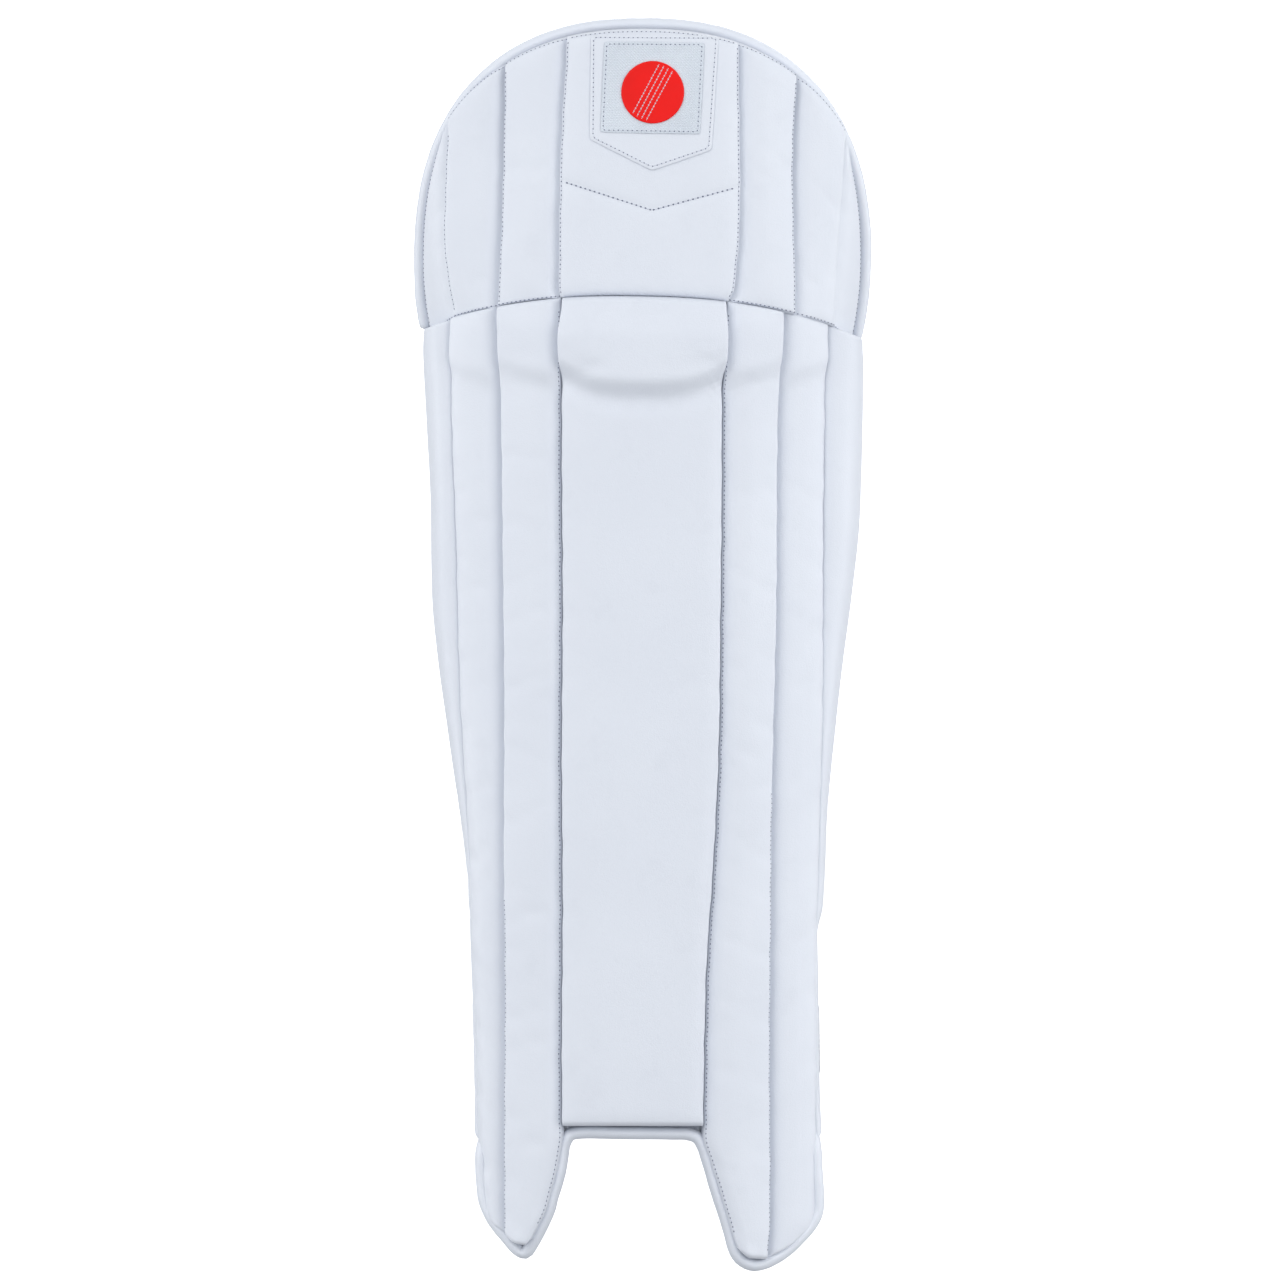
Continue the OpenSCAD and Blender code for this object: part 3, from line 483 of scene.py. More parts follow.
def loft(name, rings, *materials, thin=False):
    """A closed mesh through rings of points, capped at both ends; a thin ring is closed straight across."""
    rows, count = rings.shape[:2]
    verts = rings.reshape(-1, 3).tolist()
    faces = grid_faces(rows, count)
    for ring, base in ((rings[0], 0), (rings[-1], (rows - 1) * count)):
        if thin:
            faces += [(base + j, base + j + 1, base + count - 2 - j, base + count - 1 - j)
                      for j in range(count // 2 - 1)]
            continue
        middle = len(verts)
        verts.append(ring.mean(axis=0).tolist())
        faces += [(base + j, base + (j + 1) % count, middle) for j in range(count)]
    return make_object(name, verts, faces, *materials)


def make_object(name, verts, faces, *materials, slots=None):
    """A smooth closed mesh object, its faces turned outward, from points in millimetres."""
    mesh = bpy.data.meshes.new(name)
    mesh.from_pydata((np.asarray(verts) * MM).tolist(), [], faces)
    form = bmesh.new()
    form.from_mesh(mesh)
    bmesh.ops.recalc_face_normals(form, faces=form.faces)
    if form.calc_volume(signed=True) < 0:
        bmesh.ops.reverse_faces(form, faces=form.faces)
    form.to_mesh(mesh)
    form.free()
    mesh.shade_smooth()
    for material in materials:
        mesh.materials.append(material)
    if slots is not None:
        mesh.polygons.foreach_set("material_index", slots)
    piece = bpy.data.objects.new(name, mesh)
    scene.collection.objects.link(piece)
    return piece


CLOTH = {
    "quality": 6, "mass": 0.25, "tension_stiffness": 12, "compression_stiffness": 12, "shear_stiffness": 6,
    "bending_stiffness": 1.5, "air_damping": 4, "shrink_min": -0.006, "use_pressure": True,
    "uniform_pressure_force": 3.0, "vertex_group_mass": "sewn",
}
CLOTH_PITCH = 4.2
CLOTH_SCALE = 10            # the sheets are inflated ten times as large, where the solver is steadier
CLOTH_STEPS = 18
PUFF_CAP = 1.5


def cloth_sheet(panel):
    """A panel's front inside its seams, as a sheet sewn down round its rim, with its points and ways out."""
    width = np.linalg.norm(panel.edge_b(np.array([0.5]))[0] - panel.edge_a(np.array([0.5]))[0])
    across, up = max(9, int(width / CLOTH_PITCH)), max(11, int(panel.length / CLOTH_PITCH))
    s, v = np.linspace(0, 1, across), np.linspace(0, 1, up)
    points, out = panel.front(mix(0.04, 0.96, s), mix(5 / panel.length, 1 - 5 / panel.length, v))
    faces = grid_faces(up, across, closed=False)
    if panel.flip:
        faces = [face[::-1] for face in faces]
    mesh = bpy.data.meshes.new("sheet")
    mesh.from_pydata((points.reshape(-1, 3) * MM * CLOTH_SCALE).tolist(), [], faces)
    sheet = bpy.data.objects.new("sheet", mesh)
    scene.collection.objects.link(sheet)
    rim = [i * across + j for i in range(up) for j in range(across)
           if i in (0, up - 1) or j in (0, across - 1)]
    sheet.vertex_groups.new(name="sewn").add(rim, 1.0, "REPLACE")
    cloth = sheet.modifiers.new("cloth", "CLOTH")
    for name, value in CLOTH.items():
        setattr(cloth.settings, name, value)
    cloth.settings.effector_weights.gravity = 0
    cloth.collision_settings.use_collision = False
    return panel, sheet, points, out


def inflate(panels):
    """Cloth simulation: sheets sewn round their edges fill out under pressure, all at once."""
    sheets = [cloth_sheet(panel) for panel in panels]
    for step in range(1, CLOTH_STEPS + 1):
        scene.frame_set(step)
    graph = bpy.context.evaluated_depsgraph_get()
    for panel, sheet, points, out in sheets:
        filled = sheet.evaluated_get(graph).to_mesh()
        after = np.zeros(len(filled.vertices) * 3)
        filled.vertices.foreach_get("co", after)
        rise = ((after.reshape(points.shape) / (MM * CLOTH_SCALE) - points) * out).sum(axis=-1)
        panel.puff = np.clip(rise, -PUFF_CAP, PUFF_CAP)
        bpy.data.objects.remove(sheet)
    scene.frame_set(1)


# --------------------------------------------------------------------------- materials
class Surface:
    """A node-based material: colour, roughness and bump are built from textures in object space."""

    def __init__(self, name, specular, sheen=0.0):
        self.material = bpy.data.materials.new(name)
        self.material.use_nodes = True
        self.tree = self.material.node_tree
        self.shader = self.tree.nodes["Principled BSDF"]
        self.shader.inputs["Specular IOR Level"].default_value = specular
        self.shader.inputs["Sheen Weight"].default_value = sheen
        self.place = self.add("ShaderNodeTexCoord").outputs["Object"]

    def add(self, kind, inputs=(), **settings):
        node = self.tree.nodes.new(kind)
        for key, value in settings.items():
            setattr(node, key, value)
        for key, value in dict(inputs).items():
            if isinstance(value, bpy.types.NodeSocket):
                self.tree.links.new(value, node.inputs[key])
            else:
                node.inputs[key].default_value = value
        return node

    def noise(self, scale, detail=3.0, rough=0.55, place=None):
        inputs = {"Vector": place or self.place, "Scale": scale, "Detail": detail, "Roughness": rough}
        return self.add("ShaderNodeTexNoise", inputs).outputs["Fac"]

    def cells(self, scale):
        inputs = {"Vector": self.place, "Scale": scale}
        return self.add("ShaderNodeTexVoronoi", inputs, feature="F1").outputs["Distance"]

    def math(self, operation, a, b=0.0):
        return self.add("ShaderNodeMath", {0: a, 1: b}, operation=operation).outputs[0]

    def fit(self, value, to_low, to_high, low=0.3, high=0.7):
        """A value that runs from low to high, made to run from to_low to to_high."""
        inputs = {"Value": value, "From Min": low, "From Max": high, "To Min": to_low, "To Max": to_high}
        return self.add("ShaderNodeMapRange", inputs).outputs["Result"]

    def blend(self, share, a, b):
        return self.add("ShaderNodeMix", {0: share, 6: a, 7: b}, data_type="RGBA").outputs[2]

    def bump(self, height, depth, strength, under=None):
        inputs = {"Height": height, "Distance": depth, "Strength": strength}
        if under is not None:
            inputs["Normal"] = under
        return self.add("ShaderNodeBump", inputs).outputs["Normal"]

    def finish(self, tone, rough, normal):
        for socket, value in (("Base Color", tone), ("Roughness", rough), ("Normal", normal)):
            self.tree.links.new(value, self.shader.inputs[socket])
        return self.material


def darker(color, share):
    return [c * share for c in color[:3]] + [1]


def leather_cloth(name, color, shade, roughness=0.46):
    """White coated leather cloth: fine pressed grain, slow unevenness, a little wear and soiling."""
    surface = Surface(name, 0.42, 0.06)
    fine, slow, soil = surface.noise(2600, 2), surface.noise(13, 4), surface.noise(47, 5, 0.65)
    tone = surface.blend(surface.fit(slow, 0, 0.5), color, shade)
    tone = surface.blend(surface.fit(soil, 0, 0.32, 0.56, 0.78), tone, darker(shade, 0.94))
    rough = surface.fit(slow, roughness - 0.05, roughness + 0.07)
    rough = surface.math("ADD", rough, surface.fit(fine, -0.03, 0.03))
    crease = surface.bump(surface.noise(210), 0.00022, 0.5)
    grain = surface.math("ADD", surface.cells(1250), surface.math("MULTIPLY", fine, 0.4))
    return surface.finish(tone, rough, surface.bump(grain, 0.00012, 0.55, crease))


def towelling(name, color, shade):
    """Looped pile lining, painted darker between the loops as shade."""
    surface = Surface(name, 0.15, 0.35)
    loops, fibre, slow = surface.cells(760), surface.noise(1900), surface.noise(17, 4)
    # painted shade: darker between the loops, where the pile dips
    tone = surface.blend(surface.fit(loops, 0, 0.7, 0.1, 0.6), color, shade)
    tone = surface.blend(surface.fit(slow, 0, 0.35, 0.35, 0.7), tone, darker(shade, 0.9))
    pile = surface.math("SUBTRACT", fibre, loops)
    return surface.finish(tone, surface.fit(fibre, 0.85, 0.98), surface.bump(pile, 0.0006, 0.8))


def woven(name, color, shade, pitch, depth, mapped=True):
    """Plain weave whose threads follow the piece: UV coordinates in metres, or the object's X and Z. Its dips
    between the threads are painted darker as shade.
    """
    surface = Surface(name, 0.25, 0.15)
    place = surface.add("ShaderNodeUVMap").outputs["UV"] if mapped else surface.place
    parts = surface.add("ShaderNodeSeparateXYZ", {0: place}).outputs
    waves = [surface.math("SINE", surface.math("MULTIPLY", t, math.pi / pitch))
             for t in (parts[0], parts[1 if mapped else 2])]
    weave, ribs = surface.math("MULTIPLY", *waves), surface.math("ABSOLUTE", waves[1])
    height = surface.math("ADD", surface.math("MULTIPLY", weave, 0.5), surface.math("MULTIPLY", ribs, 0.5))
    fibre, slow = surface.noise(1700), surface.noise(30, 4)
    # painted shade: darker where the weave dips between the threads
    tone = surface.blend(surface.fit(height, 1, 0, -0.4, 0.9), color, shade)
    # slow uneven tone of the yarn
    tone = surface.blend(surface.fit(slow, 0, 0.4, 0.4, 0.75), tone, darker(shade, 0.88))
    height = surface.math("ADD", height, surface.math("MULTIPLY", fibre, 0.3))
    return surface.finish(tone, surface.fit(fibre, 0.62, 0.8), surface.bump(height, depth, 0.8))


def fleece(name, color, shade, scale, depth):
    """Hook or loop pile: close upright fibres, painted darker between the tufts as shade."""
    surface = Surface(name, 0.2, 0.3)
    pile, fibre = surface.cells(scale), surface.noise(scale * 1.7)
    # painted shade: darker where the pile dips between the tufts
    tone = surface.blend(surface.fit(pile, 0, 1, 0.1, 0.6), color, shade)
    height = surface.math("SUBTRACT", fibre, pile)
    return surface.finish(tone, surface.fit(fibre, 0.75, 0.95), surface.bump(height, depth, 0.9))


def split_cane(name):
    """Split cane: long fibres, darker at the nodes."""
    surface = Surface(name, 0.3)
    stretched = surface.add("ShaderNodeMapping", {"Vector": surface.place, "Scale": (1, 1, 0.04)})
    fibre, band = surface.noise(900, 4, 0.6, stretched.outputs["Vector"]), surface.noise(28, 2)
    tone = surface.blend(surface.fit(fibre, 0, 1), (0.56, 0.38, 0.15, 1), (0.76, 0.60, 0.32, 1))
    tone = surface.blend(surface.fit(band, 0, 0.6, 0.6, 0.75), tone, (0.35, 0.22, 0.09, 1))
    return surface.finish(tone, surface.fit(fibre, 0.5, 0.7), surface.bump(fibre, 0.0003, 0.7))


def cell_foam(name):
    """Closed-cell foam with a fine skin of bubbles, painted darker in the bubbles' dips as shade."""
    surface = Surface(name, 0.2)
    bubbles, slow = surface.cells(620), surface.noise(25)
    # painted shade: darker in the middle of each bubble, where the skin dips
    tone = surface.blend(surface.fit(bubbles, 0, 1, 0.05, 0.6), (0.46, 0.53, 0.61, 1), (0.58, 0.65, 0.72, 1))
    tone = surface.blend(surface.fit(slow, 0, 0.4, 0.4, 0.7), tone, (0.50, 0.56, 0.62, 1))
    return surface.finish(tone, surface.fit(bubbles, 0.75, 0.95, 0, 0.6), surface.bump(bubbles, 0.0004, 0.7))


def thread(name, color, shade):
    """Twisted sewing thread."""
    surface = Surface(name, 0.3, 0.2)
    twist = surface.noise(2400, 2)
    tone = surface.blend(surface.fit(twist, 0, 1), color, shade)
    return surface.finish(tone, surface.fit(twist, 0.55, 0.75), surface.bump(twist, 0.0002, 0.6))


def needle_hole_shade(name, color, shade):
    """Painted shade of a needle hole: a dark colour that stands in for the shadow inside the hole."""
    surface = Surface(name, 0.1)
    speck = surface.noise(3000, 2)
    tone = surface.blend(speck, color, shade)
    return surface.finish(tone, surface.fit(speck, 0.8, 0.95), surface.bump(speck, 0.0001, 0.4))


def raised_print(name, color, shade):
    """Raised gloss print with a faint orange-peel surface."""
    surface = Surface(name, 0.2)
    peel, slow = surface.noise(520), surface.noise(60)
    tone = surface.blend(surface.fit(slow, 0, 1), color, shade)
    return surface.finish(tone, surface.fit(peel, 0.3, 0.42), surface.bump(peel, 0.00015, 0.5))


def settle(piece, slot, body, node=None):
    """Settles a finished piece on what it rides on and names it after the CAD node that it stands for, which
    it hides; its finish, slot, is not used.
    """
    if body == "knee":
        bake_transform(piece)
    else:
        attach(piece, body)
    if node is not None:
        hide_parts(node)
        piece.name = f"{node}_soft"


# --------------------------------------------------------------------------- the panels of this pad
SEAM_GAP = 0.06             # what parts the panels from each other at the knee seam
WING_GAP = 0.2
CHANNEL_LOW = tuple(
    (first - FOOT_FIT, float(FOOT_Z[side](x1)) - FOOT_FIT, float(FOOT_Z[side](x2)) - FOOT_FIT)
    for side, first, x1, x2 in ((LEFT, -60, 75.5, 86), (RIGHT, -65, 69.5, 95)))


def signed(side, line_of_x):
    """A line over x on the pad, as a line over the distance from the middle plane on one side."""
    return (lambda x: line_of_x(-x)) if side == LEFT else line_of_x


def knee_edge_z(side, x):
    return float(knee_seam_z(-x if side == LEFT else x))


def channel_seam(side, k):
    top = knee_edge_z(side, float(SEAM_X[side][k](460))) - SEAM_GAP
    return seam_edge(side, k, CHANNEL_LOW[side][k], top)


KNEE_LOW_Z, KNEE_HALF, KNEE_ROUND, KNEE_RISE = 409, 45, 13, 8.6
KNEE_FOLDS = (39, 417)      # where the small folds are, at the swell's lower right


def knee_cap(place, _):
    """The middle panel's swell over the knee: a rounded lower edge, and small folds at its lower right."""
    x, z = place[..., 0], place[..., 2]
    low = KNEE_LOW_Z + KNEE_ROUND * (np.abs(x - 1) / KNEE_HALF) ** 3
    rise = KNEE_RISE * smooth(low, low + 12, z) * (1 - 0.45 * smooth(443, 465, z))
    near = np.exp(-((x - KNEE_FOLDS[0]) / 5.5) ** 2 - ((z - KNEE_FOLDS[1]) / 8) ** 2)
    fold = np.sin((x + 0.8 * z) * 1.15) * near
    return rise + 0.8 * fold - 1.1 * np.exp(-((z - low + 3) / 4.5) ** 2)


def knee_spread(place, s):
    """The swell also pushes the middle panel's edges outward."""
    z = place[..., 2]
    push = 1.6 * smooth(416, 432, z) * (1 - smooth(447, 463, z))
    side = np.sign(s - 0.5) * smooth(0.55, 1, np.abs(2 * s - 1))
    move = np.zeros(place.shape)
    move[..., 0] = push * side[None, :]
    return move


def beside_knee(amount):
    """The channels swell a little beside the knee."""
    def shape(place, s):
        z = place[..., 2]
        start = 410 + 9 * s[None, :]
        return amount * smooth(start, start + 16, z) * (1 - 0.4 * smooth(448, 464, z))
    return shape


CHEVRON = ((-44, 531), (5.6, 515), (54, 528))
CHEVRON_SEWN = (-42, 50.5)


def chevron_z(x):
    return np.interp(x, [p[0] for p in CHEVRON], [p[1] for p in CHEVRON])


def chevron_dent(place, _):
    """The sewn line across the hat's middle panel pulls the padding in."""
    gap = place[..., 2] - chevron_z(place[..., 0])
    return -0.5 * np.exp(-(gap / 2.0) ** 2) - 0.4 * np.exp(-(gap / 6) ** 2)


# How far out of the seams' surface the covers are held down where they are sewn to each other
KNEE_SEAM_TOP = (4.0, 2.8)
CHANNEL_TOP, CHANNEL_STEP = 2.5, -3.4
WING_TOP, WING_STEP = 3.2, 2.2
HAT_TOP, HAT_STEP = (4.6, 3.2, 3.0), (0.6, -2.0, 2.4)
RIM_Z = ((446, 550), (439, 540))


def hat_seam_edge(side, k):
    if k == 3:
        return hat_edge(side, k, *RIM_Z[side])
    foot_x, head_x = float(HAT_SEAM_X[side][k](458)), float(HAT_SEAM_X[side][k](620))
    head_z = float(dome_top(hand(side == LEFT)[0] * head_x)) - RIM_GAP
    return hat_edge(side, k, knee_edge_z(side, foot_x) + SEAM_GAP, head_z)


def make_panels():
    """The shin's seven panels and the top hat's seven."""
    panels = {}
    seam_top = [knee_edge_z(side, float(SEAM_X[side][0](KNEE_SEAM_Z))) - SEAM_GAP for side in SIDES]
    panels["shin_center"] = Panel(
        "shin_center_cover", mirrored(seam_edge(LEFT, 0, ARCH_Z, seam_top[LEFT])),
        seam_edge(RIGHT, 0, ARCH_Z, seam_top[RIGHT]), 7, roof=knee_seam_z, shape=knee_cap, spread=knee_spread,
        ends=(2.4, 2.2), end_top=(0.5, KNEE_SEAM_TOP[0]), seed=1, share=0.8)
    for side in SIDES:
        left, word = side == LEFT, SIDE_NAME[side]
        for k in (0, 1):
            panels[f"{word}_{k + 1}"] = Panel(
                f"{word}_channel_{k + 1}_cover", channel_seam(side, k), channel_seam(side, k + 1),
                5.8 - 0.4 * k, flip=left, low_side=(0.4, CHANNEL_STEP)[k], rise=(4.4, 5.0)[k],
                floor=FOOT_Z[side], roof=signed(side, knee_seam_z), shape=beside_knee(4 - k), ends=(2.2, 1.8),
                end_top=(0.5, KNEE_SEAM_TOP[1]), seed=2 + k + 3 * side, fold=((1.0, 2.0), (0, 3.0))[k],
                side_top=((-4, CHANNEL_TOP), (0, WING_TOP))[k])
        panels[f"{word}_wing"] = Panel(
            f"{word}_wing_cover", *wing_edges(side), WING_CROWN, flip=left, low_side=WING_STEP, rise=6,
            wing=side, ends=(4, 2), end_top=(-2, 0.5), seed=9 + side, fold=(0, 1.8), side_top=(0, -3))
    panels["hat_center"] = Panel(
        "hat_center_cover", mirrored(hat_seam_edge(LEFT, 0)), hat_seam_edge(RIGHT, 0), 7, floor=knee_seam_z,
        roof=dome_top, shape=chevron_dent, ends=(3.4, 3.4), end_top=(KNEE_SEAM_TOP[0], -1), seed=12,
        fold=(2.4, 2.4), side_top=(HAT_TOP[0], HAT_TOP[0]), share=0.86)
    for side in SIDES:
        for k in (0, 1, 2):
            panels[f"hat_{SIDE_NAME[side]}_{k + 1}"] = Panel(
                f"hat_{SIDE_NAME[side]}_{k + 1}_cover", hat_seam_edge(side, k), hat_seam_edge(side, k + 1),
                5.6 - 0.6 * k, flip=side == LEFT, low_side=HAT_STEP[k], rise=(4.4, 5.2, 6)[k],
                floor=signed(side, knee_seam_z), roof=signed(side, dome_top) if k < 2 else None,
                ends=(1.8, 3.4), end_top=(KNEE_SEAM_TOP[1] - 0.5 * k, -1), seed=13 + 3 * side + k,
                fold=(0, (2.0, 3.0, 2.6)[k]), side_top=(0, (HAT_TOP[1], HAT_TOP[2], -1)[k]))
    return panels


KNEE_FOAM_Z, KNEE_FOAM_LOW, KNEE_FOAM_INSET = (417, 449), 5.0, 3.0
# How far inside a front its foam starts, and how much of the depth it fills; behind it on the shin lie canes
FOAM_INSET, THIN_FOAM_INSET = 3.4, 2.6
SHIN_FOAM_DEPTH, FOAM_DEPTH = 0.45, 0.9

# Each CAD foam, and the panels that it fills
FOAMS = [("shin_center_foam", ("shin_center",)), ("hat_center_foam", ("hat_center",))]
for side_word in SIDE_NAME:
    FOAMS += [(f"{side_word}_channel_{channel}_foam", (f"{side_word}_{channel}",)) for channel in (1, 2)]
    FOAMS.append((f"{side_word}_wing_foam", (f"{side_word}_wing",)))
FOAMS += [(f"hat_{side_word}_foam", tuple(f"hat_{side_word}_{panel}" for panel in (1, 2, 3)))
          for side_word in SIDE_NAME]


def make_covers(panels, leather):
    for key, panel in panels.items():
        wide = key in ("shin_center", "hat_center")
        cover = panel.build(leather, count=61 if wide else 41, pitch=1.2 if key == "hat_center" else 2.4)
        settle(cover, "leather_cloth", "knee", panel.name)


def make_foams(panels, foam):
    """The foam inside the covers, and the knee's own block between the middle panel's foam and its cover."""
    for node, keys in FOAMS:
        depth = SHIN_FOAM_DEPTH if "shin" in node or "channel" in node else FOAM_DEPTH
        inset = FOAM_INSET if len(keys) == 1 else THIN_FOAM_INSET
        parts = [panels[key].filling(node, foam, inset, depth) for key in keys]
        settle(joined(node, parts), "foam", "knee", node)
    panel = panels["shin_center"]
    s, v = np.linspace(0.25, 0.75, 12), (np.linspace(*KNEE_FOAM_Z, 12) - ARCH_Z) / panel.length
    front, out = panel.front(s, v, -KNEE_FOAM_INSET)
    back = panel.chord(s, v)[0] + out * KNEE_FOAM_LOW
    block = loft("knee_foam", np.concatenate([front, back[:, ::-1]], axis=1), foam)
    settle(block, "foam", "knee", "knee_foam")


def joined(name, parts):
    """One object out of several."""
    if len(parts) > 1:
        with bpy.context.temp_override(active_object=parts[0], selected_editable_objects=parts):
            bpy.ops.object.join()
    parts[0].name = name
    return parts[0]


# --------------------------------------------------------------------------- bindings
def smooth_route(points, pitch=2.5):
    """Points a pitch apart along a smooth curve through the given ones (centripetal Catmull-Rom)."""
    points = np.asarray(points, float)
    points = np.concatenate([[2 * points[0] - points[1]], points, [2 * points[-1] - points[-2]]])
    route = []
    for i in range(1, len(points) - 2):
        p0, p1, p2, p3 = points[i - 1:i + 3]
        t1 = np.linalg.norm(p1 - p0) ** 0.5
        t2 = t1 + np.linalg.norm(p2 - p1) ** 0.5
        t3 = t2 + np.linalg.norm(p3 - p2) ** 0.5
        for t in np.linspace(t1, t2, max(2, int(np.linalg.norm(p2 - p1) / pitch) + 1), endpoint=False):
            a1, a2 = mix(p0, p1, t / t1), mix(p1, p2, (t - t1) / (t2 - t1))
            a3 = mix(p2, p3, (t - t2) / (t3 - t2))
            b1, b2 = mix(a1, a2, t / t2), mix(a2, a3, (t - t1) / (t3 - t1))
            route.append(mix(b1, b2, (t - t1) / (t2 - t1)))
    return np.array(route + [points[-2]])


def frames_along(route):
    """The sideways direction of a route in the pad's front plane, and the direction into the pad."""
    way = unit(np.gradient(route, axis=0))
    side = unit(np.cross(way, (0, 1, 0)))
    return side, np.cross(side, way)


def tube(name, route, radius, material, inward, deep, sides=24, ripple=0.05):
    """A rolled edge: a softly uneven tube along a route, drawn out on its inner side, where it is sewn in.

    inward is the side that it is drawn out to, 1 or -1, or 0; deep is its section's depth over its width."""
    side, third = frames_along(route)
    angle = np.linspace(0, 2 * np.pi, sides, endpoint=False)
    run = run_along(route)
    end = np.minimum(run, run[-1] - run)
    size = radius * (1 + ripple * np.array([noise.noise((r / 7.0, radius, 0.3)) for r in run]))
    size = size * np.sqrt(np.clip(1 - (1 - np.clip(end / radius, 0, 1)) ** 2, 0.02, 1))
    towards = np.clip(inward * np.cos(angle), 0, 1)
    across, through = np.cos(angle) * (1 + 0.3 * towards), deep * np.sin(angle) * (1 - 0.2 * towards)
    rings = route[:, None, :] + size[:, None, None] * (
        across[None, :, None] * side[:, None, :] + through[None, :, None] * third[:, None, :])
    return loft(name, rings, material)


INSTEP_ROUTE = (
    (-90, -14), (-89.5, -30), (-88, -41), (-83.5, -51), (-76, -60.5), (-70, -67), (-65.5, -69), (-61.5, -64),
    (-56.5, -54.5), (-52.5, -46), (-50, -37), (-47, -27), (-44.8, -16), (-43.5, -8), (-40.5, -3), (-35, -1.6),
    (-10, -1.8), (18, -2.1), (26, -2.4), (31, -4.4), (34, -9), (36.6, -16.5), (39.7, -27), (43, -38),
    (46, -47), (49, -57), (51.5, -66), (55, -72.3), (61, -75.6), (67, -75.4), (74, -72.5), (81, -68),
    (87, -62.5), (94, -55), (98.2, -47), (98.8, -38), (98, -26), (97.5, -14),
)
INSTEP_START = [(-84, 9, 6), (-87.5, 6, -4)]
INSTEP_END = [(96, 6, -4), (92, 9, 6)]
BINDING_LOOK = 3.7          # a little fuller than the CAD binding
INSTEP_Y = line((0, -18.5), (45, -17.5), (72, -9.5), (97, 3.5))
HAT_BINDING_Y = line((440, 39.5), (487, 27.5), (541, 9), (563, 1), (590, -8), (616, -15), (624, -15))


def instep_route():
    """Round both feet and over the arch; its ends run on behind the wings."""
    route = [(x, float(INSTEP_Y(abs(x))), z) for x, z in INSTEP_ROUTE]
    return smooth_route(INSTEP_START + route + INSTEP_END)


def dome_route():
    """Up one side of the top hat, over the dome and down the other side."""
    rise = [(-float(dome_side(z)) + BINDING_R, z) for z in (449, 458, 468)]
    for degrees in range(178, 0, -8):
        across, up = math.cos(math.radians(degrees)), math.sin(math.radians(degrees))
        x = DOME_X + (DOME_HALF - BINDING_R) * math.copysign(abs(across) ** (2 / DOME_POWER), across)
        rise.append((x, DOME_Z + (DOME_RISE - BINDING_R) * up ** (2 / DOME_POWER)))
    rise += [(float(dome_side(z)) - BINDING_R, z) for z in (468, 456, 443)]
    return smooth_route([(x, float(HAT_BINDING_Y(z)), z) for x, z in rise])


def wing_point(side, s, v, out):
    """A point on or off a wing's seam surface; s is a number, v and out may be lists."""
    inner, outer = wing_edges(side)
    (a, turn_a, _), (b, turn_b, _) = inner(v), outer(v)
    across = np.full((len(v), 1), float(s))
    way = facing(mix(turn_a, turn_b, across))[:, 0]
    bow = wing_bow(side, v, across)[:, 0]
    place = mix(a, b, s) + way * (bow + out)[:, None]
    return place * hand(side == LEFT)


def wing_width(side, v):
    inner, outer = wing_edges(side)
    return np.linalg.norm(outer(v)[0] - inner(v)[0], axis=-1)


def wing_depth(s):
    return mix(SEAM_DEPTH[2], WING_EDGE_DEPTH, s)


def wing_level(z, s):
    low, high = mix(WING_LOW[0], WING_LOW[1], s), mix(WING_HIGH[0], WING_HIGH[1], s)
    return (z - low) / (high - low)


def wing_edge_route(side):
    points = []
    for level in np.linspace(0.02, 0.98, 24):
        v = np.array([level])
        s = 1 - BINDING_R / wing_width(side, v)[0]
        points.append(wing_point(side, s, v, np.array([1 - WING_EDGE_DEPTH / 2]))[0])
    return smooth_route(points)


def make_bindings(binding):
    pieces = [("instep_binding", instep_route(), "shin", 0, 1.9),
              ("hat_binding", dome_route(), "knee", -1, 1.4)]
    pieces += [(f"{SIDE_NAME[side]}_wing_binding", wing_edge_route(side), "shin", 0, 1.0) for side in SIDES]
    for name, route, body, inward, deep in pieces:
        settle(tube(name, route, BINDING_LOOK, binding, inward, deep), "binding", body, name)


# --------------------------------------------------------------------------- linings and bolsters
LINING_DEPTH = 3.5
HAT_LINING_GAP = 8.0
LINING_LEFT = line((-2, -43.6), (3, -43.6), (8, -40.5), (462, -40.5))
LINING_RIGHT = line((-2, 33.6), (3, 33.6), (8, 31), (80, 31), (250, 40), (462, 42.5))


def sheet_between(name, near, far, material):
    """A padded sheet between two grids of points, its edges rounded in."""
    middle = mix(near, far, 0.5)
    for grid in (near, far):
        for row, share in ((0, 0.75), (1, 0.25)):
            for k in (row, -1 - row):
                grid[k] = mix(grid[k], middle[k], share)
            for k in (row, -1 - row):
                grid[:, k] = mix(grid[:, k], middle[:, k], share)
    return loft(name, np.concatenate([near, far[:, ::-1]], axis=1), material, thin=True)


def edged(low, high, count, rim=0.8):
    """Values from low to high with two close to each end."""
    between = np.linspace(low + 3 * rim, high - 3 * rim, count)
    return np.concatenate([[low, low + rim], between, [high - rim, high]])


def resampled(grid, count):
    """Each row of a grid again, as evenly spaced points on a smooth curve, with two close to each end."""
    rows = []
    for row in grid:
        route = smooth_route(row, 2.0)
        run = run_along(route)
        spots = edged(0, run[-1], count)
        rows.append(at_runs(spots, run, route))
    return np.array(rows)


def behind(panels, strips, levels, count):
    """A lining's near and far side behind a run of panels; strips holds (panel, places across, gap)."""
    grids = []
    for depth_more in (0, LINING_DEPTH):
        columns = []
        for key, spots, gap in strips:
            place, out, depth, _ = panels[key].chord(np.array(spots), levels)
            columns.append((place - out * (depth + gap + depth_more)[..., None]) * hand(panels[key].flip))
        grids.append(resampled(np.concatenate(columns, axis=1), count))
    return grids


def center_lining():
    rows, across = edged(-2, 462, 110), edged(0, 1, 21, 0.01)
    x = mix(LINING_LEFT(rows)[:, None], LINING_RIGHT(rows)[:, None], across[None, :])
    z = np.repeat(rows[:, None], len(across), axis=1)
    quilt = 0.25 * np.sin(z / 9) * np.sin(np.pi * across)[None, :]
    return np.stack([x, np.full_like(x, -LINING_DEPTH), z], -1), np.stack([x, quilt - 0.25, z], -1)


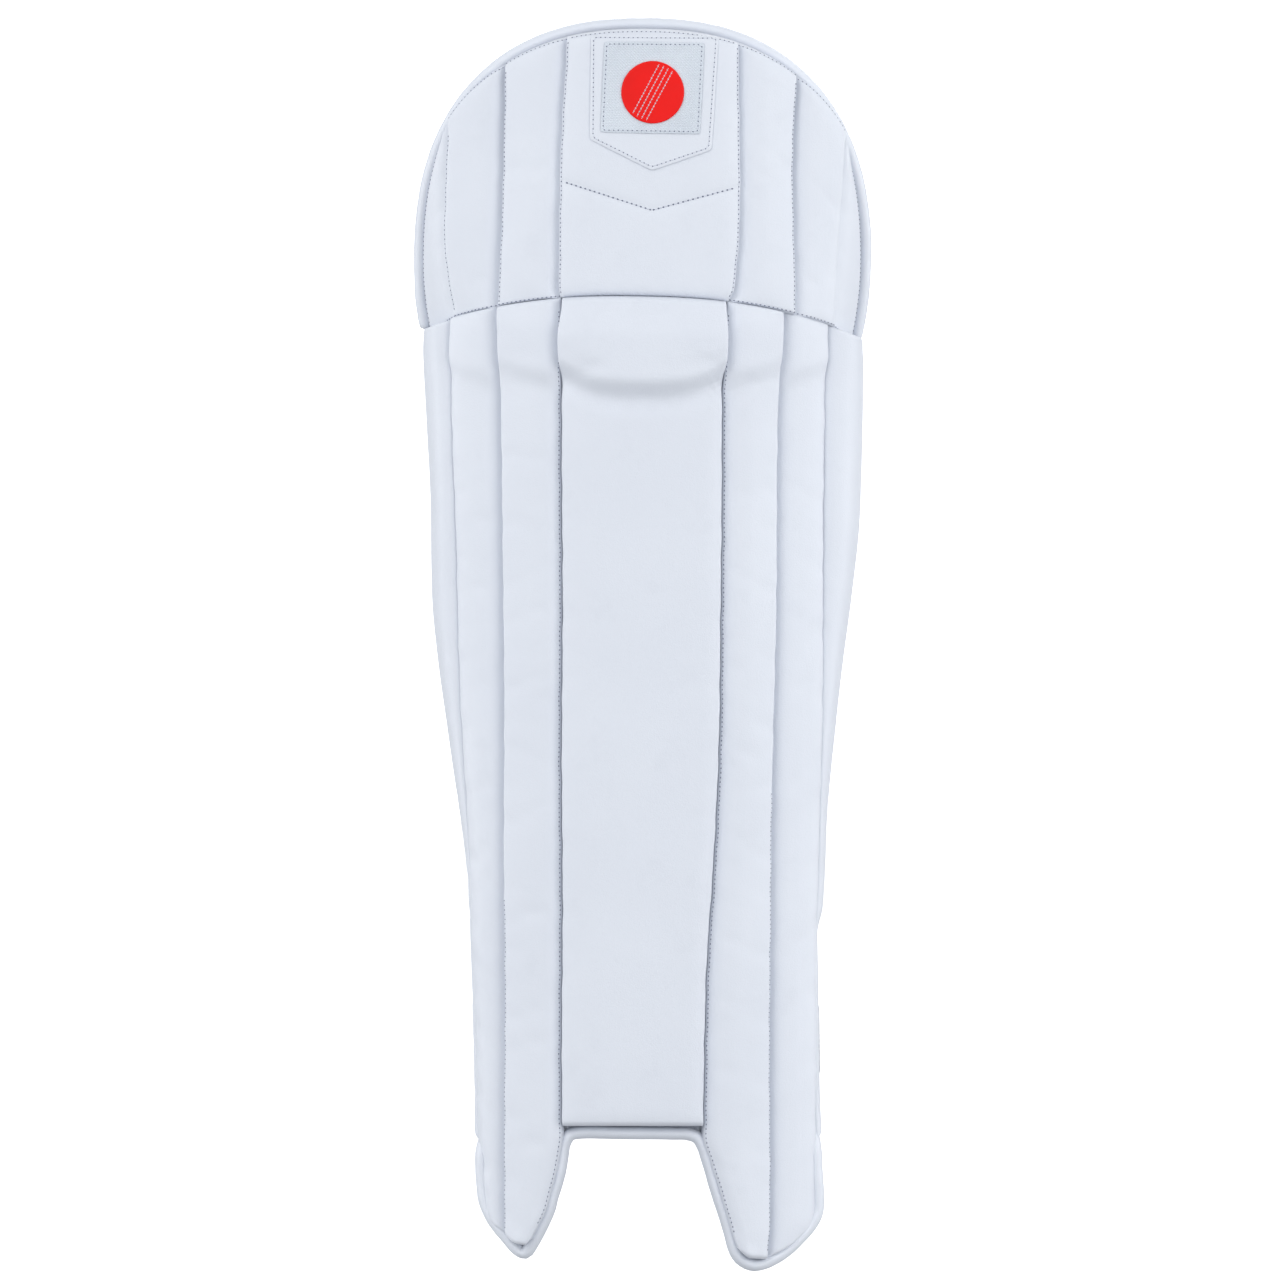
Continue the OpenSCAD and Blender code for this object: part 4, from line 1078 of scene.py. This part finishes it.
def side_lining(panels, word):
    strips = ((f"{word}_1", (0.12, 0.5, 0.9), 0.8), (f"{word}_2", (0.1, 0.5, 0.9), 0.8),
              (f"{word}_wing", (0.06, 0.14, 0.26, 0.4, 0.6, 0.8), 1.8))
    return behind(panels, strips, edged(0.03, 0.97, 90, 0.002), 44)


def hat_lining(panels):
    """Behind the side panels from rim to rim, and stretched up to follow the dome."""
    spots = {1: (0.1, 0.5, 0.9), 2: (0.1, 0.5, 0.9), 3: (0.1, 0.62)}
    strips = [(f"hat_left_{k}", spots[k][::-1], 1.3) for k in (3, 2, 1)]
    strips += [(f"hat_right_{k}", spots[k], 1.3) for k in (1, 2, 3)]
    grids = behind(panels, strips, edged(0.05, 0.95, 44, 0.004), 70)
    for grid in grids:
        foot, head = grid[:1, :, 2].copy(), grid[-1:, :, 2].copy()
        stretch = (dome_top(grid[-1:, :, 0]) - HAT_LINING_GAP - foot) / (head - foot)
        grid[..., 2] = foot + (grid[..., 2] - foot) * stretch
    return grids


def make_linings(panels, lining):
    sheets = [("shin_lining_center", center_lining())]
    sheets += [(f"shin_lining_{word}", side_lining(panels, word)) for word in SIDE_NAME]
    sheets.append(("hat_lining", hat_lining(panels)))
    for name, (near, far) in sheets:
        settle(sheet_between(name, near, far, lining), "lining", "knee", name)


BOLSTERS = (                # name, and its two ends
    ("left_shin_bolster", (-26, 0, 42), (-26, 0, 352)),
    ("right_shin_bolster", (20, 0, 42), (20, 0, 352)),
    ("knee_bolster", (-24, 0, 412), (24, 0, 412)),
)


def bolster(name, start, end, material, half=14.6, low=0.5, high=10.0):
    """A stuffed roll, flattened where it is sewn down and where the leg bears."""
    start, end = np.asarray(start, float), np.asarray(end, float)
    way = unit(end - start)
    side = np.cross(way, (0, 1, 0))
    length = np.linalg.norm(end - start) + 2 * half
    tip = half * (1 - np.cos(np.linspace(0, np.pi / 2, 9)))
    run = np.concatenate([tip, np.linspace(half + 4, length - half - 4, int(length / 5)), length - tip[::-1]])
    angle = np.linspace(0, np.pi, 25)
    rings = []
    for r in run:
        share = math.sqrt(max(0.0, 1 - (1 - min(1, min(r, length - r) / half)) ** 2)) + 0.01
        bulge = 1 + 0.012 * noise.noise((r / 16, start[0], 2.2))
        across = half * share * bulge * np.sign(np.cos(angle)) * np.abs(np.cos(angle)) ** (2 / 2.5)
        up = low + (high - low) * min(1, share * 1.08) * bulge * np.sin(angle) ** (2 / 2.3)
        seam = -0.7 * np.exp(-((across / (half * share + 0.01)) / 0.05) ** 2)
        ring = (start + way * (r - half))[None, :] + side[None, :] * across[:, None]
        ring[:, 1] = np.minimum(up + seam, high)
        rings.append(ring)
    return loft(name, np.array(rings), material)


def make_bolsters(lining):
    for name, start, end in BOLSTERS:
        settle(bolster(name, start, end, lining), "lining", "shin", name)
    low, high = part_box("hat_bolster")
    roll = bolster("hat_bolster", (-34, 0, 520), (34, 0, 520), lining, low=low.y / MM + 0.1, high=high.y / MM)
    settle(roll, "lining", "top_hat", "hat_bolster")


# --------------------------------------------------------------------------- straps
STRAPS = (("knee", 372, 0.6), ("calf", 236, 0.6), ("ankle", 50, 0.52))   # name, height, where its tail ends
STRAP_WIDTH, STRAP_DEPTH, PATCH_DEPTH, STRAP_GAP = 38, 2.2, 1.0, 0.35
STRAP_BACK = 26             # how far a strap bows out behind the wings
ANCHOR_OUT = -(LINING_DEPTH + 3.2)
ANCHOR_SPAN = (0.6, 0.93)   # where an anchor is sewn on the left wing's inside
TAIL_OUT = WING_CROWN + 3 * STRAP_GAP + 2 * PATCH_DEPTH
TAIL_BEND = 1.06            # where a strap comes round the right wing's edge, past it


def wing_plan(side, z, s, out):
    """The plan of one point off a wing's seam surface, at a height and a place across."""
    return wing_point(side, s, np.array([wing_level(z, s)]), np.array([out]))[0, :2]


def anchor_out(s):
    return -wing_depth(s) + ANCHOR_OUT - STRAP_DEPTH / 2


def band_start(z):
    s, v = ANCHOR_SPAN[1], np.array([wing_level(z, 1)])
    x = wing_point(LEFT, s, v, np.array([anchor_out(s)]))[0, 0]
    return np.array((x, wing_edges(LEFT)[1](v)[0][0, 1] + 9))


def tail_spot(z):
    return wing_plan(RIGHT, z, TAIL_BEND, TAIL_OUT + STRAP_DEPTH / 2)


def bezier(a, b, c, d, t):
    return a * (1 - t) ** 3 + 3 * b * t * (1 - t) ** 2 + 3 * c * t * t * (1 - t) + d * t ** 3


def band_route(z):
    """From the anchor round behind the leg to the right wing's edge."""
    a, d = band_start(z), tail_spot(z)
    m = np.array(((a[0] + d[0]) / 2, max(a[1], d[1]) + STRAP_BACK))
    b, c, share = np.array((a[0] * 0.6, m[1])), np.array((d[0] * 0.75, m[1])), np.linspace(0, 1, 25)
    first = [bezier(a, a + (1, 12), b, m, t) for t in share]
    return np.array(first + [bezier(m, c, d + (0.5, 16), d, t) for t in share[1:]])


def anchor_route(z):
    spots = [wing_plan(LEFT, z, s, anchor_out(s)) for s in np.linspace(*ANCHOR_SPAN, 12)]
    return np.array(spots + [band_start(z)])


def wing_route(start, end, out, count=16):
    """A route forward over the right wing's outside, as a function of height."""
    return lambda z: np.array([wing_plan(RIGHT, z, s, out) for s in np.linspace(start, end, count)])


def strip(name, route, z, width, depth, material):
    """Flat webbing on edge along a route over height, with rounded edges and a UV map in metres."""
    heights = z + width / 2 * np.array((-1, -0.985, -0.9, -0.5, 0, 0.5, 0.9, 0.985, 1))
    half = depth / 2 * np.array((0.35, 0.8, 1, 1, 1, 1, 1, 0.8, 0.35))
    plans = [route(h) for h in heights]
    near, far = [], []
    for plan, h, t in zip(plans, heights, half):
        way = unit(np.gradient(plan, axis=0))
        side = np.stack([way[:, 1], -way[:, 0]], -1)
        for rows, sign in ((near, 1), (far, -1)):
            spots = plan + side * t * sign
            rows.append(np.column_stack([spots, np.full(len(plan), h)]))
    near, far = np.array(near).transpose(1, 0, 2), np.array(far).transpose(1, 0, 2)
    piece = loft(name, np.concatenate([near, far[:, ::-1]], axis=1), material)
    run = run_along(near[:, 4])
    along = np.concatenate([np.repeat(run, near.shape[1] * 2), [run[0], run[-1]]])
    chart = piece.data.uv_layers.new(name="UVMap")
    for loop, place in zip(piece.data.loops, chart.data):
        vertex = piece.data.vertices[loop.vertex_index]
        place.uv = (along[loop.vertex_index] * MM, vertex.co.z)
    return piece


def bend(piece, node):
    """A piece of webbing, baked where it was built; the CAD node that it stands for is hidden."""
    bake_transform(piece)
    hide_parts(node)


def make_straps(webbing, hooks, loops):
    """Each strap's anchor, band, tail, and the hook patch and loop patch that close it."""
    for word, z, tail_end in STRAPS:
        name = f"{word}_strap"
        anchor = strip(f"{name}_anchor", anchor_route, z, STRAP_WIDTH, STRAP_DEPTH, webbing)
        settle(anchor, "webbing", "shin", f"{name}_anchor")
        band = strip(f"{name}_band", band_route, z, STRAP_WIDTH, STRAP_DEPTH, webbing)
        hinge = np.array((*band_start(z), z))
        bend(band, f"{name}_band")
        route = wing_route(TAIL_BEND, tail_end, TAIL_OUT + STRAP_DEPTH / 2, 24)
        tail = strip(f"{name}_tail", route, z, STRAP_WIDTH, STRAP_DEPTH, webbing)
        corner = np.array((*tail_spot(z), z))
        bend(tail, f"{name}_tail")
        route = wing_route(0.93, tail_end + 0.02, TAIL_OUT - STRAP_GAP - PATCH_DEPTH / 2)
        hook = strip(f"{name}_hook", route, z, STRAP_WIDTH - 4, PATCH_DEPTH, hooks)
        settle(hook, "hook_and_loop", f"{name}_end", f"{name}_hook")
        route = wing_route(0.92, tail_end - 0.02, WING_CROWN + 0.8 + PATCH_DEPTH / 2)
        loop = strip(f"{name}_loop", route, z, STRAP_WIDTH + 6, PATCH_DEPTH, loops)
        settle(loop, "hook_and_loop", "shin", f"{name}_loop")


# --------------------------------------------------------------------------- sewing
STITCH_PITCH, STITCH_R, HOLE_R = 2.6, 0.3, 0.5
FINE_HOLE_R = 0.42
STITCH_FORM = ((0.27, 0.2), (0.36, 0.85), (0.5, 1.0), (0.64, 0.85), (0.73, 0.2))    # place along, thickness


def even(points, outs, pitch):
    """Points a pitch apart along a row, with the way out of the surface at each."""
    run = run_along(points)
    spots = np.linspace(0, run[-1], max(2, int(round(run[-1] / pitch)) + 1))
    points, outs = (at_runs(spots, run, grid) for grid in (points, outs))
    return points, unit(outs)


def sew(name, rows, body, sewing, pitch=STITCH_PITCH, hole=HOLE_R, thick=STITCH_R, slot="leather_cloth"):
    """Rows of lock stitches in one object: threads between needle holes, each hole a small dark cone in
    painted shade. A row is (points, ways out).
    """
    verts, faces, slots = [], [], []
    turn = np.linspace(0, 2 * np.pi, 6, endpoint=False)
    for points, outs in rows:
        points, outs = even(points, outs, pitch)
        for k, (point, out) in enumerate(zip(points, outs)):
            way = unit(points[min(k + 1, len(points) - 1)] - points[max(k - 1, 0)])
            side = np.cross(way, out)
            base = len(verts)
            # each needle hole is a small dark cone: its colour is painted shade standing in for the hole
            verts += [point + hole * (1.15 * math.cos(a) * way + 0.85 * math.sin(a) * side) for a in turn]
            verts.append(point + out * 0.3)
            faces += [(base + j, base + (j + 1) % 6, base + 6) for j in range(6)]
            slots += [1] * 6
            if k + 1 == len(points):
                continue
            for share, size in STITCH_FORM:
                middle = mix(point, points[k + 1], share) + out * 0.12 * size
                verts += [middle + thick * size * (math.cos(a) * side + math.sin(a) * out) for a in turn]
            first = base + 7
            faces += [tuple(first + n for n in face) for face in grid_faces(len(STITCH_FORM), 6)]
            faces += [tuple(range(first + 5, first - 1, -1)), tuple(range(first + 24, first + 30))]
            slots += [0] * (6 * (len(STITCH_FORM) - 1) + 2)
    settle(make_object(name, verts, faces, *sewing, slots=slots), slot, body)


def row_up(panel, distance, from_outer=False, low=0.0, high=1.0):
    """A row of points up a panel at a distance from one of its seams."""
    v = np.linspace(low, high, 160)
    width = np.linalg.norm(panel.edge_b(v)[0] - panel.edge_a(v)[0], axis=-1)
    points, outs = [], []
    for level, s in zip(v, distance / width):
        point, out = panel.front(np.array([1 - s if from_outer else s]), np.array([level]))
        points.append(point[0, 0])
        outs.append(out[0, 0])
    return np.array(points), np.array(outs)


def row_across(panel, distance, from_top=False):
    """A row of points across a panel at a distance from its lower or upper end."""
    share = distance / panel.length
    points, outs = panel.front(np.linspace(0.03, 0.97, 60), np.array([1 - share if from_top else share]))
    return points[0], outs[0]


class Face:
    """Finds points on a panel's front by their place across and their height."""

    def __init__(self, panel):
        self.points, self.outs = panel.front(np.linspace(0.02, 0.98, 81), np.linspace(0.01, 0.99, 121))

    def sample(self, grid, i, j):
        i0, j0 = np.clip(i.astype(int), 0, grid.shape[0] - 2), np.clip(j.astype(int), 0, grid.shape[1] - 2)
        fi, fj = (i - i0)[..., None], (j - j0)[..., None]
        return ((grid[i0, j0] * (1 - fi) + grid[i0 + 1, j0] * fi) * (1 - fj)
                + (grid[i0, j0 + 1] * (1 - fi) + grid[i0 + 1, j0 + 1] * fi) * fj)

    def at(self, x, z, lift=0.0):
        x, z = np.asarray(x, float), np.asarray(z, float)
        rows, columns = self.points.shape[:2]
        width = self.points[0, -1, 0] - self.points[0, 0, 0]
        height = self.points[-1, 0, 2] - self.points[0, 0, 2]
        i, j = np.full(x.shape, rows / 2.0), np.full(x.shape, columns / 2.0)
        for _ in range(12):
            spot = self.sample(self.points, i, j)
            i = np.clip(i + (z - spot[..., 2]) / height * rows, 0, rows - 1.01)
            j = np.clip(j + (x - spot[..., 0]) / width * columns, 0, columns - 1.01)
        out = self.sample(self.outs, i, j)
        return self.sample(self.points, i, j) + out * lift, out


def make_sewing(panels, sewing, face):
    """Every row of stitches that shows, apart from the badge's."""
    for side, word in enumerate(SIDE_NAME):
        channel, hat = panels[f"{word}_1"], [panels[f"hat_{word}_{k}"] for k in (1, 2, 3)]
        sew(f"{word}_center_seam_stitches", [row_up(channel, 1.4, low=0.02, high=0.985)], "knee", sewing)
        sew(f"{word}_knee_seam_stitches", [row_across(panel, 0.9) for panel in hat], "knee", sewing)
        rows = [row_up(panels["hat_center"], 0.9, side == RIGHT, 0.02, 0.97)]
        rows.append(row_up(hat[0], 1.1, True, 0.02, 0.95))
        if side == LEFT:
            rows.append(row_up(hat[1], 1.0, True, 0.04, 0.9))
        sew(f"{word}_hat_seam_stitches", rows, "knee", sewing)
        rows = [row_up(channel, 1.2, True, 0.01, (0.36, 0.49)[side])]
        sew(f"{word}_channel_seam_stitches", rows, "shin", sewing, hole=FINE_HOLE_R)
        rows = [row_across(panel, 1.7, True) for panel in hat[:2]]
        rows.append(row_up(hat[2], 1.6, True, 0.04, 0.96))
        sew(f"{word}_rim_stitches", rows, "knee", sewing, hole=0.45)
    chevron = []
    for (x0, _), (x1, _) in zip(CHEVRON, CHEVRON[1:]):
        x = np.clip(mix(x0, x1, np.linspace(0.02, 0.98, 50)), *CHEVRON_SEWN)
        chevron.append(face.at(x, chevron_z(x), 0.12))
    sew("chevron_stitches", chevron, "knee", sewing, pitch=2.8, hole=0.55)
    sew("hat_top_stitches", [row_across(panels["hat_center"], 1.7, True)], "knee", sewing, hole=0.45)


# --------------------------------------------------------------------------- badge
BADGE_PATCH = ((-28, 613), (42.5, 612.5), (38.6, 549), (5.6, 537.6), (-28.8, 555))
BADGE_PLATE = ((-20.5, 609), (34.5, 608.5), (32, 558), (-22.7, 559))
BADGE_CENTER = (6, 581)
BADGE_R = 17
BADGE_LAYERS = ((0.05, 1.0), (1.15, 1.9), (2.0, 2.75))      # under and upper side of each over the panel
PATCH_RIM = 0.5
BALL_LEAN = math.radians(28)
BALL_SEAMS = (-4.2, -1.4, 1.4, 4.2)


def rounded(corners, radius, steps=5):
    """A polygon's outline with its corners rounded."""
    corners = np.asarray(corners, float)
    outline = []
    for i, corner in enumerate(corners):
        beside = corners[i - 1], corners[(i + 1) % len(corners)]
        a, b = (corner + unit(other - corner) * radius for other in beside)
        outline += [a * (1 - t) ** 2 + 2 * corner * t * (1 - t) + b * t * t for t in np.linspace(0, 1, steps)]
    return np.array(outline)


def dense(outline, pitch):
    """The outline with points no further apart than a pitch."""
    spots = []
    for a, b in zip(outline, np.roll(outline, -1, axis=0)):
        count = max(1, int(np.linalg.norm(b - a) / pitch))
        spots += [mix(a, b, t) for t in np.arange(count) / count]
    return np.array(spots)


def grown(outline, amount):
    """The outline moved out from its middle by an amount, or in where that is less than nothing."""
    way = outline - outline.mean(axis=0)
    return outline.mean(axis=0) + way * (1 + amount / np.linalg.norm(way, axis=1, keepdims=True))


def patch(name, face, outline, low, high, material):
    """A flat piece sewn on a panel: it follows the panel's front, with a softly rounded edge."""
    outline = dense(outline, 1.6)
    middle, edge = outline.mean(axis=0), grown(outline, PATCH_RIM)
    layers = [(middle + (outline - middle) * share, high) for share in np.linspace(0.02, 1, 18) ** 0.8]
    layers += [(edge, mix(low, high, 0.75)), (edge, mix(low, high, 0.3))]
    layers += [(middle + (outline - middle) * share, low) for share in (1, 0.5, 0.02)]
    rings = [face.at(spots[:, 0], spots[:, 1], lift)[0] for spots, lift in layers]
    return loft(name, np.array(rings), material)


def make_badge(face, leather, plate, red, sewing):
    """A sewn patch with a plate on it, and on that a plain ball with its rows of stitches."""
    turn = np.linspace(0, 2 * np.pi, 64, endpoint=False)
    disc = np.array(BADGE_CENTER) + BADGE_R * np.stack([np.cos(turn), np.sin(turn)], -1)
    outlines = (rounded(BADGE_PATCH, 2), rounded(BADGE_PLATE, 1.5), disc)
    for node, slot, outline, (low, high), material in zip(
            ("badge_patch", "badge_plate", "badge_emblem"), ("leather_cloth", "badge_plate", "badge_red"),
            outlines, BADGE_LAYERS, (leather, plate, red)):
        settle(patch(node, face, outline, low, high, material), slot, "top_hat", node)
    for name, outline, inset, lift in (("badge_patch_stitches", outlines[0], 1.6, 1.0),
                                       ("badge_plate_stitches", outlines[1], 1.3, 1.9)):
        row = dense(grown(outline, -inset), 1.5)
        row = np.concatenate([row, row[:1]])
        sew(name, [face.at(row[:, 0], row[:, 1], lift)], "top_hat", sewing, hole=FINE_HOLE_R)
    rows = []
    lean = np.array((math.sin(BALL_LEAN), math.cos(BALL_LEAN)))
    for offset in BALL_SEAMS:
        reach = math.sqrt((BADGE_R - 1.2) ** 2 - offset ** 2)
        run = np.linspace(-reach, reach, 40)[:, None]
        spots = np.array(BADGE_CENTER) + run * lean + offset * np.array((lean[1], -lean[0]))
        rows.append(face.at(spots[:, 0], spots[:, 1], BADGE_LAYERS[2][1]))
    sew("badge_emblem_stitches", rows, "top_hat", (sewing[0], sewing[0]), pitch=1.9, hole=0.25, thick=0.42,
        slot="badge_plate")


# --------------------------------------------------------------------------- everything together
def main():
    make_camera()
    make_lights()
    make_sky()
    make_stage()
    white = leather_cloth("leather_cloth", (0.715, 0.745, 0.805, 1), (0.67, 0.70, 0.765, 1))
    rolled = leather_cloth("binding", (0.73, 0.76, 0.82, 1), (0.68, 0.71, 0.775, 1), 0.4)
    lining = towelling("lining", (0.66, 0.69, 0.75, 1), (0.52, 0.55, 0.62, 1))
    foam = cell_foam("foam")
    cane = split_cane("cane")
    webbing = woven("webbing", (0.74, 0.76, 0.80, 1), (0.50, 0.53, 0.58, 1), 0.0015, 0.0005)
    hooks = fleece("hook_tape", (0.60, 0.62, 0.66, 1), (0.32, 0.34, 0.38, 1), 900, 0.0006)
    loops = fleece("loop_tape", (0.72, 0.74, 0.78, 1), (0.52, 0.55, 0.60, 1), 700, 0.0007)
    plate = woven("badge_plate", (0.74, 0.79, 0.85, 1), (0.62, 0.67, 0.74, 1), 0.0009, 0.0003, mapped=False)
    red = raised_print("badge_red", (0.86, 0.006, 0.004, 1), (0.78, 0.006, 0.004, 1))
    # the thread, and a dark finish that is painted shade for the needle holes
    sewing = (thread("sewing_thread", (0.72, 0.75, 0.82, 1), (0.58, 0.61, 0.69, 1)),
              needle_hole_shade("needle_hole_shade", (0.13, 0.15, 0.21, 1), (0.20, 0.22, 0.30, 1)))

    panels = make_panels()
    inflate(panels.values())
    face = Face(panels["hat_center"])
    make_covers(panels, white)
    make_foams(panels, foam)
    for node in ("shin_center_canes", "left_canes", "right_canes"):
        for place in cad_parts[node].material_slots:
            place.material = cane
        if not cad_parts[node].material_slots:
            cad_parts[node].data.materials.append(cane)
    make_bindings(rolled)
    make_linings(panels, lining)
    make_bolsters(lining)
    make_straps(webbing, hooks, loops)
    make_badge(face, white, plate, red, sewing)
    make_sewing(panels, sewing, face)


main()
